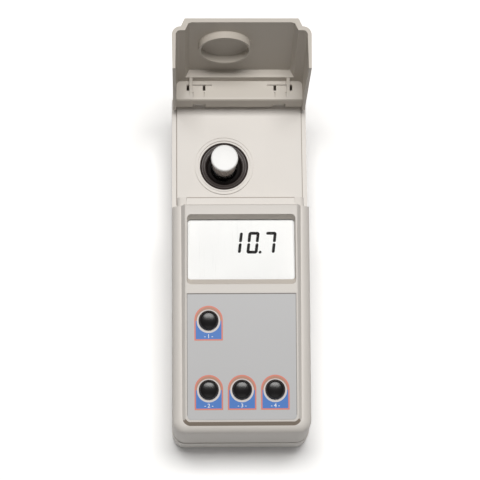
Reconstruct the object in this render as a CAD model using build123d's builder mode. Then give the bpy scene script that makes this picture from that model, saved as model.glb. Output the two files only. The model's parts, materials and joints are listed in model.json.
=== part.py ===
from build123d import *
import os
from math import cos, radians, sin, tan

# Peroxide meter with a hinged lid, in millimetres.
# X runs to the right as the keys are read, +Y from the keys to the hinge, +Z up.
# The origin is on the bench, under the middle of the whole meter with its lid open.

# Casing
casing_width = 85.0
casing_length = 218.0
casing_height = 80.0
foot_height = 1.5
parting_z = 25.0
wall = 2.5
side_draft = 0.8
front_lean = 3.0
front_corner_radius = 8.0
rear_corner_radius = 5.0
bottom_edge_radius = 2.0
parting_groove = 0.5
parting_gap = 0.05

# Raised panel and shoulders of the front section
panel_reach = 139.0
panel_slope = 8.0
panel_front_margin = 8.68
panel_top_width = 68.2
panel_corner_radius = 3.2
panel_edge_radius = 0.8
step_run = 2.3
shoulder_drop = 5.0
shoulder_slope = 6.9
shoulder_radius = 5.5

# Deck round the well
deck_z = 50.0
ledge_drop = 2.0
ledge_width = 3.2

# Lid
lid_wall = 2.5
lid_inset = 0.3
lid_toe_in = 0.8
lid_gap = 0.3
lid_front_gap = 0.8
lid_slope = 8.5
lid_open_angle = 92.5
lid_block_depth = 16.0
lid_block_chamfer = 0.9
lid_ceiling_depth = 4.8
lid_rear_radius = 4.0
shelf_depth = 5.3
shelf_edge_chamfer = 1.2
catch_x = 32.0
catch_width = 3.4
catch_length = 1.8
catch_depth = 0.5
rib_thickness = 2.0
collar_radius = 15.8
collar_wall = 1.2
collar_height = 4.7
collar_lead = 5.0

# Hinge
hinge_inset = 4.5
hinge_rise = 6.0
pin_radius = 1.5
pin_clearance = 0.05
lug_width = 7.0
lug_radius = 3.6
lug_spacing = 50.0
lug_side_gap = 0.35
lug_sweep_gap = 0.6
cheek_width = 2.3
window_width = 1.7
window_height = 3.6
seam_width = 0.5
seam_length = 3.5
seam_depth = 1.2
pin_overlap = 6.0

# Display
opening_width = 65.8
opening_height = 41.1
opening_margin = 6.6
opening_radius = 2.6
opening_side_run = 1.1
opening_top_run = 3.4
opening_bottom_run = 2.0
opening_depth = 4.0
display_tilt = 4.2
window_thickness = 1.5
window_overlap = 1.6
module_thickness = 3.6
module_gap = 0.2

# Key label and keys
label_width = 66.0
label_margin = 54.3
label_front_margin = 1.3
label_recess = 0.5
label_thickness = 0.4
label_corner_radius = 2.4
label_gap = 0.2
key_radius = 5.7
key_gap = 0.35
key_proud = 3.4
key_skirt = 1.0
key_flange = 1.6
key_flange_thickness = 1.2
key_travel = 1.0
key_pitch = 20.0
key_top_margin = 16.3
key_front_margin = 19.3

# Measuring well, offset to the left of the middle
well_x = -9.6
well_from_step = 31.6
well_mouth_radius = 15.0
well_mouth_gap = 0.2
well_flange_thickness = 2.0
well_ring_radius = 18.1
well_ring_width = 1.6
well_ring_rise = 0.4
well_groove_width = 0.4
well_groove_depth = 0.5
well_bore_radius = 11.6
well_wall = 2.0
well_floor_thickness = 2.0
well_floor_z = 5.2
light_axis_z = 22.0
light_port_radius = 2.5
filter_thickness = 1.0
detector_depth = 3.0
optics_board_width = 16.0
optics_board_height = 22.0

# Adapter ring, vial and cap
adapter_gap = 0.1
adapter_recess = 2.2
adapter_mouth_radius = 10.3
adapter_mouth_depth = 3.0
vial_radius = 8.0
vial_gap = 0.3
vial_glass = 1.0
neck_radius = 5.6
neck_wall = 1.0
shoulder_above_deck = 1.0
cap_radius = 8.3
cap_height = 19.0
cap_top_above_deck = 20.4
cap_taper_radius = 7.2
cap_rim_drop = 3.0
cap_disc_thickness = 2.0
cap_gap = 0.15
sample_level = 0.62

# Inner parts
board_thickness = 1.6
board_width = 62.0
board_margin = 6.0
board_front_margin = 7.6
board_depth = 13.0
board_screw_radius = 1.0
board_screw_head = 2.0
board_boss_radius = 2.4
boss_radius = 3.6
switch_size = 6.0
switch_body = 3.4
battery_length = 48.5
battery_width = 26.5
battery_height = 17.5
battery_gap = 0.6
bay_wall = 1.6
terminal_thickness = 3.0
cover_thickness = 2.2
cover_gap = 0.25
cover_lap = 2.5
cover_grip_count = 5
screw_radius = 1.5
screw_head_radius = 2.8
screw_head_depth = 2.2
screw_inset_x = 33.5
screw_inset_y = 13.0
foot_radius = 5.5
foot_seat_depth = 1.0
foot_inset_x = 26.0
foot_inset_y = 24.0

# Places worked out from the sizes above
panel_length = (panel_reach - panel_front_margin) / cos(radians(panel_slope))
label_length = panel_length - label_margin - label_front_margin
board_length = panel_length - board_margin - board_front_margin
well_from_front = panel_reach + well_from_step
hinge_from_front = casing_length - hinge_inset
hinge_z = deck_z + hinge_rise
lid_reach = hinge_from_front - panel_reach - lid_front_gap
lean_back = radians(lid_open_angle - 90)
open_reach = lid_reach * sin(lean_back) + (casing_height - hinge_z) * cos(lean_back)
front_y = -(hinge_from_front + open_reach) / 2
rear_y = front_y + casing_length
mid_y = front_y + casing_length / 2
step_y = front_y + panel_reach
shelf_y = step_y + shelf_depth
hinge_y = front_y + hinge_from_front
lid_front_y = step_y + lid_front_gap
well_y = front_y + well_from_front
ledge_z = deck_z - ledge_drop
shoulder_z = casing_height - shoulder_drop
deck_width = casing_width - 2 * (ledge_width + (deck_z - parting_z) * tan(radians(side_draft)))
hinge_axis = Axis((0, hinge_y, hinge_z), (1, 0, 0))

# The panel plane has its origin at the rear edge of the raised panel, +y up the slope
panel_plane = Plane(
    origin=(0, step_y, casing_height),
    x_dir=(1, 0, 0),
    z_dir=(0, -sin(radians(panel_slope)), cos(radians(panel_slope))),
)
shoulder_plane = Plane(
    origin=(0, step_y, shoulder_z),
    x_dir=(1, 0, 0),
    z_dir=(0, -sin(radians(shoulder_slope)), cos(radians(shoulder_slope))),
)
lid_direction = (0, cos(radians(lid_slope)), -sin(radians(lid_slope)))
front_crest_z = shoulder_z - (panel_reach - front_lean) * tan(radians(shoulder_slope))


def section_plane(y):
    """Upright plane across the meter at y, with its normal to the rear."""
    return Plane(origin=(0, y, 0), x_dir=(-1, 0, 0), z_dir=(0, 1, 0))


def half_width(z):
    """Half the casing's width at a height, with the draft of its sides."""
    return casing_width / 2 - (z - parting_z) * tan(radians(side_draft))


def shoulder_height(y):
    """Height of the shoulders of the front section at y."""
    return shoulder_z + (y - step_y) * tan(radians(shoulder_slope))


def plan_outline(inset, z=parting_z):
    """The casing seen from above at a height, drawn in by inset."""
    front = front_y + inset + (z - parting_z) * front_lean / (front_crest_z - parting_z)
    rear = rear_y - inset
    with BuildSketch(mode=Mode.PRIVATE) as outline:
        with Locations((0, (front + rear) / 2)):
            Rectangle(2 * (half_width(z) - inset), rear - front)
        fillet(outline.vertices().group_by(Axis.Y)[0], front_corner_radius - inset)
        fillet(outline.vertices().group_by(Axis.Y)[-1], rear_corner_radius - inset)
    return outline.sketch


def arch_outline(inset, foot_z, toe_in=0):
    """Cross-section of the shoulders and sides at the step, drawn in by inset."""
    with BuildSketch(mode=Mode.PRIVATE) as arch:
        top_z = shoulder_z - inset
        toe = toe_in * (shoulder_z - foot_z) / (shoulder_z - ledge_z)
        foot_half = half_width(foot_z) - inset - toe
        top_half = half_width(top_z) - inset
        with BuildLine():
            Polyline(
                (-foot_half, foot_z), (foot_half, foot_z),
                (top_half, top_z), (-top_half, top_z),
                close=True,
            )
        make_face()
        fillet(arch.vertices().group_by(Axis.Y)[-1], shoulder_radius - inset)
    return arch.sketch


def raised_outline(inset, foot_z):
    """Cross-section of the raised middle at the step, drawn in by inset."""
    with BuildSketch(mode=Mode.PRIVATE) as raised:
        top_half = panel_top_width / 2 - inset
        base_half = top_half + step_run
        with BuildLine():
            Polyline(
                (-base_half, foot_z), (base_half, foot_z), (base_half, shoulder_z - inset),
                (top_half, casing_height - inset), (-top_half, casing_height - inset),
                (-base_half, shoulder_z - inset),
                close=True,
            )
        make_face()
        edge = max(panel_edge_radius - inset, 0.2)
        fillet(raised.vertices().group_by(Axis.Y)[-1], edge)
    return raised.sketch


def side_profile(inset, step_at):
    """Side view of the casing under the shoulders and ledge, drawn in by inset."""
    with BuildSketch(Plane.YZ, mode=Mode.PRIVATE) as profile:
        with BuildLine():
            Polyline(
                (front_y - 1, parting_z - 1),
                (front_y - 1, shoulder_height(front_y - 1) - inset),
                (step_at, shoulder_height(step_at) - inset),
                (step_at, ledge_z - inset),
                (rear_y + 1, ledge_z - inset),
                (rear_y + 1, parting_z - 1),
                close=True,
            )
        make_face()
    return profile.sketch


# Screw and foot places, seen from above
screw_points = [
    (side * screw_inset_x, y)
    for side in (-1, 1)
    for y in (front_y + screw_inset_y, rear_y - screw_inset_y)
]
foot_points = [
    (side * foot_inset_x, y)
    for side in (-1, 1)
    for y in (front_y + foot_inset_y, rear_y - foot_inset_y)
]
board_screw_points = [
    (side * (board_width / 2 - board_boss_radius - 1), y)
    for side in (-1, 1)
    for y in (
        -(opening_margin + opening_height + label_margin) / 2 - 1,
        -board_margin - board_length + board_boss_radius + 1,
    )
]
key_points = {
    "power_button": (-key_pitch, -label_margin - key_top_margin),
    "zero_button": (-key_pitch, key_front_margin - panel_length),
    "timer_button": (0, key_front_margin - panel_length),
    "read_button": (key_pitch, key_front_margin - panel_length),
}
opening_centre = -opening_margin - opening_height / 2
label_centre = -label_margin - label_length / 2
lug_centres = [-lug_spacing / 2, lug_spacing / 2]
battery_y = front_y + 8 + battery_length / 2
floor_z = foot_height + wall
well_axis = Axis((well_x, well_y, 0), (0, 0, 1))


# Upper casing
with BuildPart() as raised_pad:
    pad_root = 1.5
    pad_tail = shelf_depth + 3 * panel_corner_radius
    pad_flare = step_run * (1 + pad_root / shoulder_drop)
    pad_length = panel_length + pad_tail
    with BuildSketch(shoulder_plane.offset(-pad_root)):
        with Locations((0, (pad_tail - panel_length) / 2)):
            RectangleRounded(
                panel_top_width + 2 * pad_flare,
                pad_length + 2 * pad_flare,
                panel_corner_radius + pad_flare,
            )
    with BuildSketch(panel_plane):
        with Locations((0, (pad_tail - panel_length) / 2)):
            RectangleRounded(panel_top_width, pad_length, panel_corner_radius)
    loft()
    pad_top = raised_pad.faces().filter_by(Axis((0, 0, 0), panel_plane.z_dir))[0]
    fillet(pad_top.edges(), panel_edge_radius)
    split(bisect_by=section_plane(shelf_y), keep=Keep.BOTTOM)

with BuildPart() as casing_cavity:
    with BuildSketch(Plane.XY.offset(parting_z - 1)):
        add(plan_outline(wall, parting_z - 1))
    with BuildSketch(Plane.XY.offset(casing_height)):
        add(plan_outline(wall, casing_height))
    loft()
    extrude(
        side_profile(wall, step_y - wall),
        amount=casing_width,
        both=True,
        mode=Mode.INTERSECT,
    )
    with BuildSketch(panel_plane.offset(-wall)):
        with Locations((0, -panel_length / 2)):
            Rectangle(panel_top_width - 2 * wall, panel_length - 2 * wall)
    extrude(amount=-shoulder_drop)

display_plane = Plane(
    origin=panel_plane.from_local_coords((0, opening_centre, -opening_depth)),
    x_dir=(1, 0, 0),
    z_dir=(0, -sin(radians(panel_slope - display_tilt)), cos(radians(panel_slope - display_tilt))),
)
view_width = opening_width - 2 * opening_side_run
view_height = opening_height - opening_top_run - opening_bottom_run
view_shift = (opening_bottom_run - opening_top_run) / 2

with BuildPart() as display_funnel:
    with BuildSketch(display_plane):
        with Locations((0, view_shift)):
            RectangleRounded(view_width, view_height, opening_radius - 0.8)
    with BuildSketch(panel_plane):
        with Locations((0, opening_centre)):
            RectangleRounded(opening_width, opening_height, opening_radius)
    loft()

with BuildPart() as display_frame:
    with BuildSketch(display_plane):
        with Locations((0, view_shift)):
            Rectangle(view_width + 2 * window_overlap, view_height + 2 * window_overlap)
    with BuildSketch(panel_plane.offset(-wall / 2)):
        with Locations((0, opening_centre)):
            Rectangle(opening_width, opening_height + window_overlap)
    loft()

with BuildPart() as upper_casing:
    with BuildSketch(Plane.XY.offset(parting_z)):
        add(plan_outline(0))
    with BuildSketch(Plane.XY.offset(casing_height)):
        add(plan_outline(0, casing_height))
    loft()
    extrude(
        side_profile(0, shelf_y), amount=casing_width, both=True, mode=Mode.INTERSECT
    )
    shoulder_face = upper_casing.faces().filter_by(Axis((0, 0, 0), shoulder_plane.z_dir))[0]
    fillet(shoulder_face.edges().sort_by(Axis.Y)[:-1], shoulder_radius)
    add(raised_pad.part)
    # Shelf that carries the front edge of the closed lid
    shelf_inset = lid_wall + 2 * lid_gap
    shelf_foot = ledge_z + 3
    with BuildSketch(section_plane(step_y)):
        with Locations((0, casing_height)):
            Rectangle(2 * casing_width, 2 * (casing_height - shelf_foot))
        add(arch_outline(shelf_inset, ledge_z), mode=Mode.SUBTRACT)
        add(raised_outline(shelf_inset, ledge_z), mode=Mode.SUBTRACT)
    extrude(amount=2 * shelf_depth, dir=lid_direction, mode=Mode.SUBTRACT)
    with BuildSketch(section_plane(step_y)):
        with Locations((0, ledge_z + shelf_foot / 2)):
            Rectangle(2 * casing_width, shelf_foot)
        add(arch_outline(shelf_inset, ledge_z), mode=Mode.SUBTRACT)
    extrude(amount=2 * shelf_depth, mode=Mode.SUBTRACT)
    shelf_rear_z = casing_height - shelf_inset - shelf_depth * tan(radians(lid_slope))
    with BuildSketch(Plane.YZ):
        with Locations((step_y, casing_height), (shelf_y, shelf_rear_z)):
            Rectangle(shelf_edge_chamfer, shelf_edge_chamfer, rotation=45)
    extrude(amount=panel_top_width / 2, both=True, mode=Mode.SUBTRACT)
    catch_floor = casing_height - shelf_inset - catch_depth - lid_gap
    for side in (-1, 1):
        with BuildSketch(Plane.XY.offset(catch_floor)):
            with Locations((side * catch_x, lid_front_y + catch_length / 2)):
                Rectangle(catch_width + 2 * lid_gap, catch_length + 4 * lid_gap)
        extrude(amount=casing_height - catch_floor, mode=Mode.SUBTRACT)
    # Deck
    with BuildSketch(Plane.XY.offset(ledge_z - wall / 2)):
        with Locations((0, (step_y + rear_y) / 2)):
            Rectangle(deck_width, rear_y - step_y)
    extrude(amount=ledge_drop + wall / 2)
    add(display_frame.part)
    add(casing_cavity.part, mode=Mode.SUBTRACT)
    add(display_frame.part)
    with BuildSketch(display_plane):
        with Locations((0, view_shift)):
            Rectangle(
                view_width + 2 * (window_overlap + module_gap),
                view_height + 2 * (window_overlap + module_gap),
            )
    extrude(amount=-2 * shoulder_drop, mode=Mode.SUBTRACT)
    add(display_funnel.part, mode=Mode.SUBTRACT)
    # Ring and hole for the well
    with BuildSketch(Plane.XY.offset(deck_z)):
        with Locations((well_x, well_y)):
            Circle(well_ring_radius)
            Circle(well_ring_radius - well_ring_width, mode=Mode.SUBTRACT)
    extrude(amount=well_ring_rise)
    with BuildSketch(Plane.XY.offset(deck_z)):
        for groove_radius in (well_ring_radius + well_groove_width, well_ring_radius - well_ring_width):
            with Locations((well_x, well_y)):
                Circle(groove_radius)
                Circle(groove_radius - well_groove_width, mode=Mode.SUBTRACT)
    extrude(amount=-well_groove_depth, mode=Mode.SUBTRACT)
    with Locations((well_x, well_y, deck_z)):
        CounterBoreHole(
            radius=well_bore_radius + well_wall + well_mouth_gap,
            counter_bore_radius=well_mouth_radius + well_mouth_gap,
            counter_bore_depth=well_flange_thickness,
            depth=2 * wall + ledge_drop,
        )
    # Recess for the key label and the key holes
    with BuildSketch(panel_plane):
        with Locations((0, label_centre)):
            label_cut = Rectangle(label_width + 2 * label_gap, label_length + 2 * label_gap)
        fillet(label_cut.vertices().group_by(Axis.Y)[0], label_corner_radius)
    extrude(amount=-label_recess, mode=Mode.SUBTRACT)
    with BuildSketch(panel_plane):
        with Locations(*key_points.values()):
            Circle(key_radius + key_gap)
    extrude(amount=-2 * wall, mode=Mode.SUBTRACT)
    # Hinge lugs
    for centre in lug_centres:
        with BuildSketch(Plane.YZ.offset(centre - lug_width / 2)):
            with Locations((hinge_y, (hinge_z + deck_z - 1) / 2)):
                Rectangle(2 * lug_radius, hinge_z - deck_z + 1)
            with Locations((hinge_y, hinge_z)):
                Circle(lug_radius)
                Circle(pin_radius + pin_clearance, mode=Mode.SUBTRACT)
        extrude(amount=lug_width)
    # Bosses for the casing screws and the board screws
    for x, y in screw_points:
        boss_top = (shoulder_height(y) if y < step_y else ledge_z) - wall / 2
        with BuildSketch(Plane.XY.offset(parting_z)):
            with Locations((x, y)):
                Circle(boss_radius)
                Circle(screw_radius + pin_clearance, mode=Mode.SUBTRACT)
        extrude(amount=boss_top - parting_z)
    with BuildSketch(panel_plane.offset(-board_depth)):
        with Locations(*board_screw_points):
            Circle(board_boss_radius)
            Circle(board_screw_radius + pin_clearance, mode=Mode.SUBTRACT)
    extrude(amount=board_depth - wall / 2)
upper_casing.part.label = "upper_casing"


# Lower casing and battery bay
bay_half = battery_width / 2 + battery_gap
bay_rear_y = battery_y + battery_length / 2 + 2 * battery_gap + terminal_thickness
bay_front_y = battery_y - battery_length / 2 - battery_gap
battery_floor = foot_height + cover_thickness + 2 * cover_gap
bay_top = battery_floor + battery_height + battery_gap
cover_rear_y = bay_rear_y + cover_lap
rail_z = foot_height + cover_thickness / 2

with BuildPart() as lower_body:
    with BuildSketch(Plane.XY.offset(foot_height)):
        add(plan_outline(0))
    extrude(amount=parting_z - foot_height - parting_gap)
    fillet(lower_body.faces().sort_by(Axis.Z)[0].edges(), bottom_edge_radius)


def cover_block(gap):
    """Battery cover with its side rails, drawn out by gap."""
    length = cover_rear_y + gap - front_y
    with BuildPart(mode=Mode.PRIVATE) as block:
        with BuildSketch(Plane.XY.offset(foot_height)):
            with Locations((0, front_y + length / 2)):
                Rectangle(2 * (bay_half + gap), length)
        extrude(amount=cover_thickness + gap)
        with BuildSketch(Plane.XY.offset(rail_z - gap)):
            with Locations((0, front_y + length / 2)):
                Rectangle(2 * (bay_half + cover_lap + gap), length)
        extrude(amount=foot_height + cover_thickness + 2 * gap - rail_z)
    return block.part


with BuildPart() as lower_casing:
    add(lower_body.part)
    with BuildSketch(Plane.XY.offset(floor_z)):
        add(plan_outline(wall))
    extrude(amount=parting_z, mode=Mode.SUBTRACT)
    with BuildSketch(Plane.XY.offset(parting_z - parting_groove)):
        add(plan_outline(0))
        add(plan_outline(parting_groove), mode=Mode.SUBTRACT)
    extrude(amount=parting_groove, mode=Mode.SUBTRACT)
    # Bay walls, rail guides, posts
    with BuildSketch(Plane.XY.offset(floor_z - wall / 2)):
        with Locations((0, (bay_front_y - bay_wall + bay_rear_y + bay_wall) / 2)):
            Rectangle(2 * (bay_half + bay_wall), bay_rear_y - bay_front_y + 2 * bay_wall)
    extrude(amount=bay_top + bay_wall - floor_z + wall / 2)
    with BuildSketch(Plane.XY.offset(floor_z - wall / 2)):
        with Locations((0, (front_y + wall / 2 + cover_rear_y + bay_wall) / 2)):
            Rectangle(
                2 * (bay_half + cover_lap + cover_gap + bay_wall),
                cover_rear_y + bay_wall - front_y - wall / 2,
            )
    extrude(amount=bay_wall + wall / 2)
    with BuildSketch(Plane.XY.offset(floor_z - wall / 2)):
        with Locations(*screw_points):
            Circle(boss_radius)
    extrude(amount=parting_z - parting_gap - floor_z + wall / 2)
    # Room for the battery, its terminals and the cover
    with BuildSketch(Plane.XY.offset(foot_height)):
        with Locations((0, (bay_front_y + bay_rear_y) / 2)):
            Rectangle(2 * bay_half, bay_rear_y - bay_front_y)
    extrude(amount=bay_top - foot_height, mode=Mode.SUBTRACT)
    add(cover_block(cover_gap), mode=Mode.SUBTRACT)
    with BuildSketch(Plane.XY):
        with Locations(*foot_points):
            Circle(foot_radius + cover_gap)
    extrude(amount=foot_height + foot_seat_depth, mode=Mode.SUBTRACT)
    with BuildSketch(Plane.XY):
        with Locations(*screw_points):
            Circle(screw_radius + cover_gap)
    extrude(amount=parting_z, mode=Mode.SUBTRACT)
    with BuildSketch(Plane.XY):
        with Locations(*screw_points):
            Circle(screw_head_radius + cover_gap)
    extrude(amount=foot_height + wall + screw_head_depth, mode=Mode.SUBTRACT)
lower_casing.part.label = "lower_casing"

with BuildPart() as battery_cover:
    add(lower_body.part)
    add(cover_block(0), mode=Mode.INTERSECT)
    with BuildSketch(Plane.XY.offset(foot_height)):
        with Locations((0, front_y + 9)):
            with GridLocations(0, 2.4, 1, cover_grip_count):
                Rectangle(14, 1.2)
    extrude(amount=0.5, mode=Mode.SUBTRACT)
battery_cover.part.label = "battery_cover"

with BuildPart() as rubber_feet:
    with BuildSketch():
        with Locations(*foot_points):
            Circle(foot_radius)
    extrude(amount=foot_height + foot_seat_depth)
    chamfer(rubber_feet.faces().group_by(Axis.Z)[0].edges(), 0.5)
rubber_feet.part.label = "rubber_feet"

with BuildPart() as case_screws:
    head_z = foot_height + wall
    with BuildSketch(Plane.XY.offset(head_z)):
        with Locations(*screw_points):
            Circle(screw_head_radius)
    extrude(amount=screw_head_depth)
    with BuildSketch(Plane.XY.offset(head_z + screw_head_depth)):
        with Locations(*screw_points):
            Circle(screw_radius)
    extrude(amount=parting_z - head_z - screw_head_depth + 3 * screw_radius)
    with BuildSketch(Plane.XY.offset(head_z)):
        with Locations(*screw_points):
            Rectangle(2 * screw_radius, 0.6)
            Rectangle(0.6, 2 * screw_radius)
    extrude(amount=screw_head_depth / 2, mode=Mode.SUBTRACT)
case_screws.part.label = "case_screws"


# Battery and terminal block
with BuildPart() as battery_9v:
    with BuildSketch(Plane.XZ.offset(-battery_y - battery_length / 2 + 3)):
        with Locations((0, battery_floor + battery_height / 2)):
            RectangleRounded(battery_width, battery_height, 1.5)
    extrude(amount=battery_length - 3)
    with BuildSketch(Plane.XZ.offset(-battery_y - battery_length / 2 + 3)):
        with Locations((-6.35, battery_floor + battery_height / 2)):
            Circle(2.9)
        with Locations((6.35, battery_floor + battery_height / 2)):
            RegularPolygon(3.9, 6)
    extrude(amount=-3)
battery_9v.part.label = "battery_9v"

with BuildPart() as battery_terminals:
    with BuildSketch(Plane.XZ.offset(-bay_rear_y)):
        with Locations((0, battery_floor + battery_height / 2)):
            RectangleRounded(battery_width - 2, battery_height - 2, 1)
    extrude(amount=terminal_thickness)
battery_terminals.part.label = "battery_terminals"


# Lid, modelled closed and then turned open on its hinge
block_y = rear_y - lid_block_depth
ceiling_y = block_y - lid_ceiling_depth
rim_z = ledge_z + lid_gap
block_foot = deck_z + lid_gap
inner_half = half_width(deck_z) - lid_inset - lid_wall
inner_inset = lid_inset + lid_wall
notch_half = lug_width / 2 + lug_side_gap
notch_top = hinge_z + lug_radius + lug_sweep_gap
cheek_out = lug_spacing / 2 + notch_half + cheek_width
pin_start = lug_spacing / 2 - notch_half - pin_overlap
window_out = cheek_out + window_width / 2
window_in = lug_spacing / 2 - notch_half + window_width / 2
seam_out = cheek_out - rib_thickness - seam_width / 2
seam_reach = cheek_out + window_width - lug_spacing / 2
seam_z = hinge_z - 0.4 - seam_length / 2


def lid_form(inset, start_y, end_y, raised_end_y, foot_z, toe_in=0):
    """Sloping arch of the lid, drawn in by inset, between two places along Y."""
    along = cos(radians(lid_slope))
    with BuildPart(mode=Mode.PRIVATE) as form:
        with BuildSketch(section_plane(lid_front_y)):
            add(arch_outline(inset, foot_z, toe_in))
        extrude(amount=(end_y - lid_front_y) / along, dir=lid_direction)
        with BuildSketch(section_plane(lid_front_y)):
            add(raised_outline(inset, foot_z))
        extrude(amount=(raised_end_y - lid_front_y) / along, dir=lid_direction)
        if start_y < lid_front_y:
            with BuildSketch(section_plane(start_y)):
                add(arch_outline(inset, foot_z))
                add(raised_outline(inset, foot_z))
            extrude(amount=lid_front_y - start_y)
    return form.part


def corner_cut(foot_z, half):
    """What a rounded rear lower corner takes away, so the lid can turn over the deck."""
    with BuildPart(mode=Mode.PRIVATE) as cut:
        with BuildSketch(Plane.YZ):
            with Locations((rear_y, foot_z)):
                Rectangle(2 * lid_rear_radius, 2 * lid_rear_radius)
            with Locations((rear_y - lid_rear_radius, foot_z + lid_rear_radius)):
                Circle(lid_rear_radius, mode=Mode.SUBTRACT)
        extrude(amount=half, both=True)
    return cut.part


collar_y = well_y - collar_lead
collar_plane = Plane(
    origin=(
        well_x,
        collar_y,
        casing_height - inner_inset - (collar_y - lid_front_y) * tan(radians(lid_slope)),
    ),
    x_dir=(1, 0, 0),
    z_dir=(0, sin(radians(lid_slope)), cos(radians(lid_slope))),
)

with BuildPart() as collar:
    with BuildSketch(collar_plane.offset(-collar_height)):
        Circle(collar_radius)
        Circle(collar_radius - collar_wall, mode=Mode.SUBTRACT)
    extrude(amount=collar_height + inner_inset / 2)

with BuildPart() as closed_lid:
    add(lid_form(lid_inset, lid_front_y, rear_y, ceiling_y + lid_wall, ledge_z, lid_toe_in))
    add(
        lid_form(inner_inset, lid_front_y - 1, block_y, ceiling_y, ledge_z - 2),
        mode=Mode.SUBTRACT,
    )
    split(bisect_by=Plane.XY.offset(rim_z), keep=Keep.TOP)
    with BuildSketch(Plane.XY):
        with Locations((0, rear_y)):
            Rectangle(2 * inner_half, 2 * lid_block_depth)
    extrude(amount=block_foot, mode=Mode.SUBTRACT)
    add(corner_cut(rim_z, casing_width), mode=Mode.SUBTRACT)
    add(corner_cut(block_foot, inner_half), mode=Mode.SUBTRACT)
    with BuildSketch(Plane.YZ):
        with Locations((block_y, block_foot)):
            Rectangle(lid_block_chamfer, lid_block_chamfer, rotation=45)
    extrude(amount=inner_half, both=True, mode=Mode.SUBTRACT)
    add(collar.part)
    for side in (-1, 1):
        lug_centre = side * lug_spacing / 2
        # Catch on the free edge
        with BuildSketch(Plane.XY.offset(casing_height - inner_inset - catch_depth)):
            with Locations((side * catch_x, lid_front_y + catch_length / 2)):
                Rectangle(catch_width, catch_length)
        extrude(amount=catch_depth + lid_wall / 2)
        # Gusset rib between the ceiling and the thick hinge edge
        with BuildSketch(Plane.YZ.offset(side * (cheek_out - rib_thickness / 2))):
            with BuildLine():
                Polyline(
                    (ceiling_y, shoulder_z - (ceiling_y - lid_front_y) * tan(radians(lid_slope)) - 2),
                    (block_y + 1, shoulder_z - (block_y - lid_front_y) * tan(radians(lid_slope)) - 2),
                    (block_y + 1, block_foot + 1.5),
                    (block_y, block_foot + 1.5),
                    close=True,
                )
            make_face()
        extrude(amount=rib_thickness / 2, both=True)
        # Notch for the casing's lug, seams and windows round it, and bore for the pin
        with BuildSketch(section_plane(hinge_y - lug_radius - lug_sweep_gap)):
            with Locations((-lug_centre, notch_top / 2)):
                Rectangle(2 * notch_half, notch_top)
        extrude(amount=2 * lid_block_depth, mode=Mode.SUBTRACT)
        with BuildSketch(section_plane(block_y)):
            with Locations((-lug_centre, notch_top)):
                Rectangle(2 * seam_reach, seam_width)
            with Locations((-side * seam_out, seam_z), (-side * window_in, seam_z)):
                Rectangle(seam_width, seam_length)
        extrude(amount=seam_depth, mode=Mode.SUBTRACT)
        with BuildSketch(section_plane(block_y)):
            with Locations(
                (-side * window_out, notch_top - window_height / 2),
                (-side * window_in, notch_top - window_height / 2),
            ):
                Rectangle(window_width, window_height)
        extrude(amount=2 * lid_block_depth, mode=Mode.SUBTRACT)
        with BuildSketch(Plane.YZ.offset(side * pin_start)):
            with Locations((hinge_y, hinge_z)):
                Circle(pin_radius + pin_clearance)
        extrude(amount=side * (cheek_out + window_width / 2 - pin_start), mode=Mode.SUBTRACT)

with BuildPart() as lid:
    add(closed_lid.part.rotate(hinge_axis, -lid_open_angle))
lid.part.label = "lid"

with BuildPart() as hinge_pins:
    with BuildSketch(Plane.YZ.offset(pin_start)):
        with Locations((hinge_y, hinge_z)):
            Circle(pin_radius)
    extrude(amount=cheek_out - pin_start)
    mirror(about=Plane.YZ)
hinge_pins.part.label = "hinge_pins"


# Measuring well, adapter ring, vial, cap and sample
port_reach = well_bore_radius + well_wall + 5
port_wall = 2.0

with BuildPart() as cell_well:
    with BuildSketch(Plane.XZ.offset(-well_y)):
        with BuildLine():
            tube = well_bore_radius + well_wall
            Polyline(
                (well_x, well_floor_z), (well_x + tube, well_floor_z),
                (well_x + tube, deck_z - well_flange_thickness),
                (well_x + well_mouth_radius, deck_z - well_flange_thickness),
                (well_x + well_mouth_radius, deck_z),
                (well_x + well_mouth_radius - 1, deck_z),
                (well_x + well_mouth_radius - 1, deck_z - 0.6),
                (well_x + well_bore_radius + 0.9, deck_z - 0.6),
                (well_x + well_bore_radius + 0.9, deck_z - 1.4),
                (well_x + well_bore_radius, deck_z - 1.4),
                (well_x + well_bore_radius, well_floor_z + well_floor_thickness),
                (well_x, well_floor_z + well_floor_thickness),
                close=True,
            )
        make_face()
    revolve(axis=well_axis)
    with BuildSketch(Plane.YZ.offset(well_x - port_reach)):
        with Locations((well_y, light_axis_z)):
            Circle(light_port_radius + port_wall)
    extrude(amount=2 * port_reach)
    with BuildSketch(Plane.XY.offset(well_floor_z + well_floor_thickness)):
        with Locations((well_x, well_y)):
            Circle(well_bore_radius)
    extrude(amount=deck_z - well_floor_z, mode=Mode.SUBTRACT)
    with BuildSketch(Plane.YZ.offset(well_x - port_reach)):
        with Locations((well_y, light_axis_z)):
            Circle(light_port_radius)
    extrude(amount=2 * port_reach, mode=Mode.SUBTRACT)
    with BuildSketch(Plane.YZ.offset(well_x - port_reach)):
        with Locations((well_y, light_axis_z)):
            Circle(light_port_radius + port_wall / 2 + adapter_gap)
    extrude(amount=filter_thickness, mode=Mode.SUBTRACT)
cell_well.part.label = "cell_well"

well_seat_z = well_floor_z + well_floor_thickness

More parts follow.
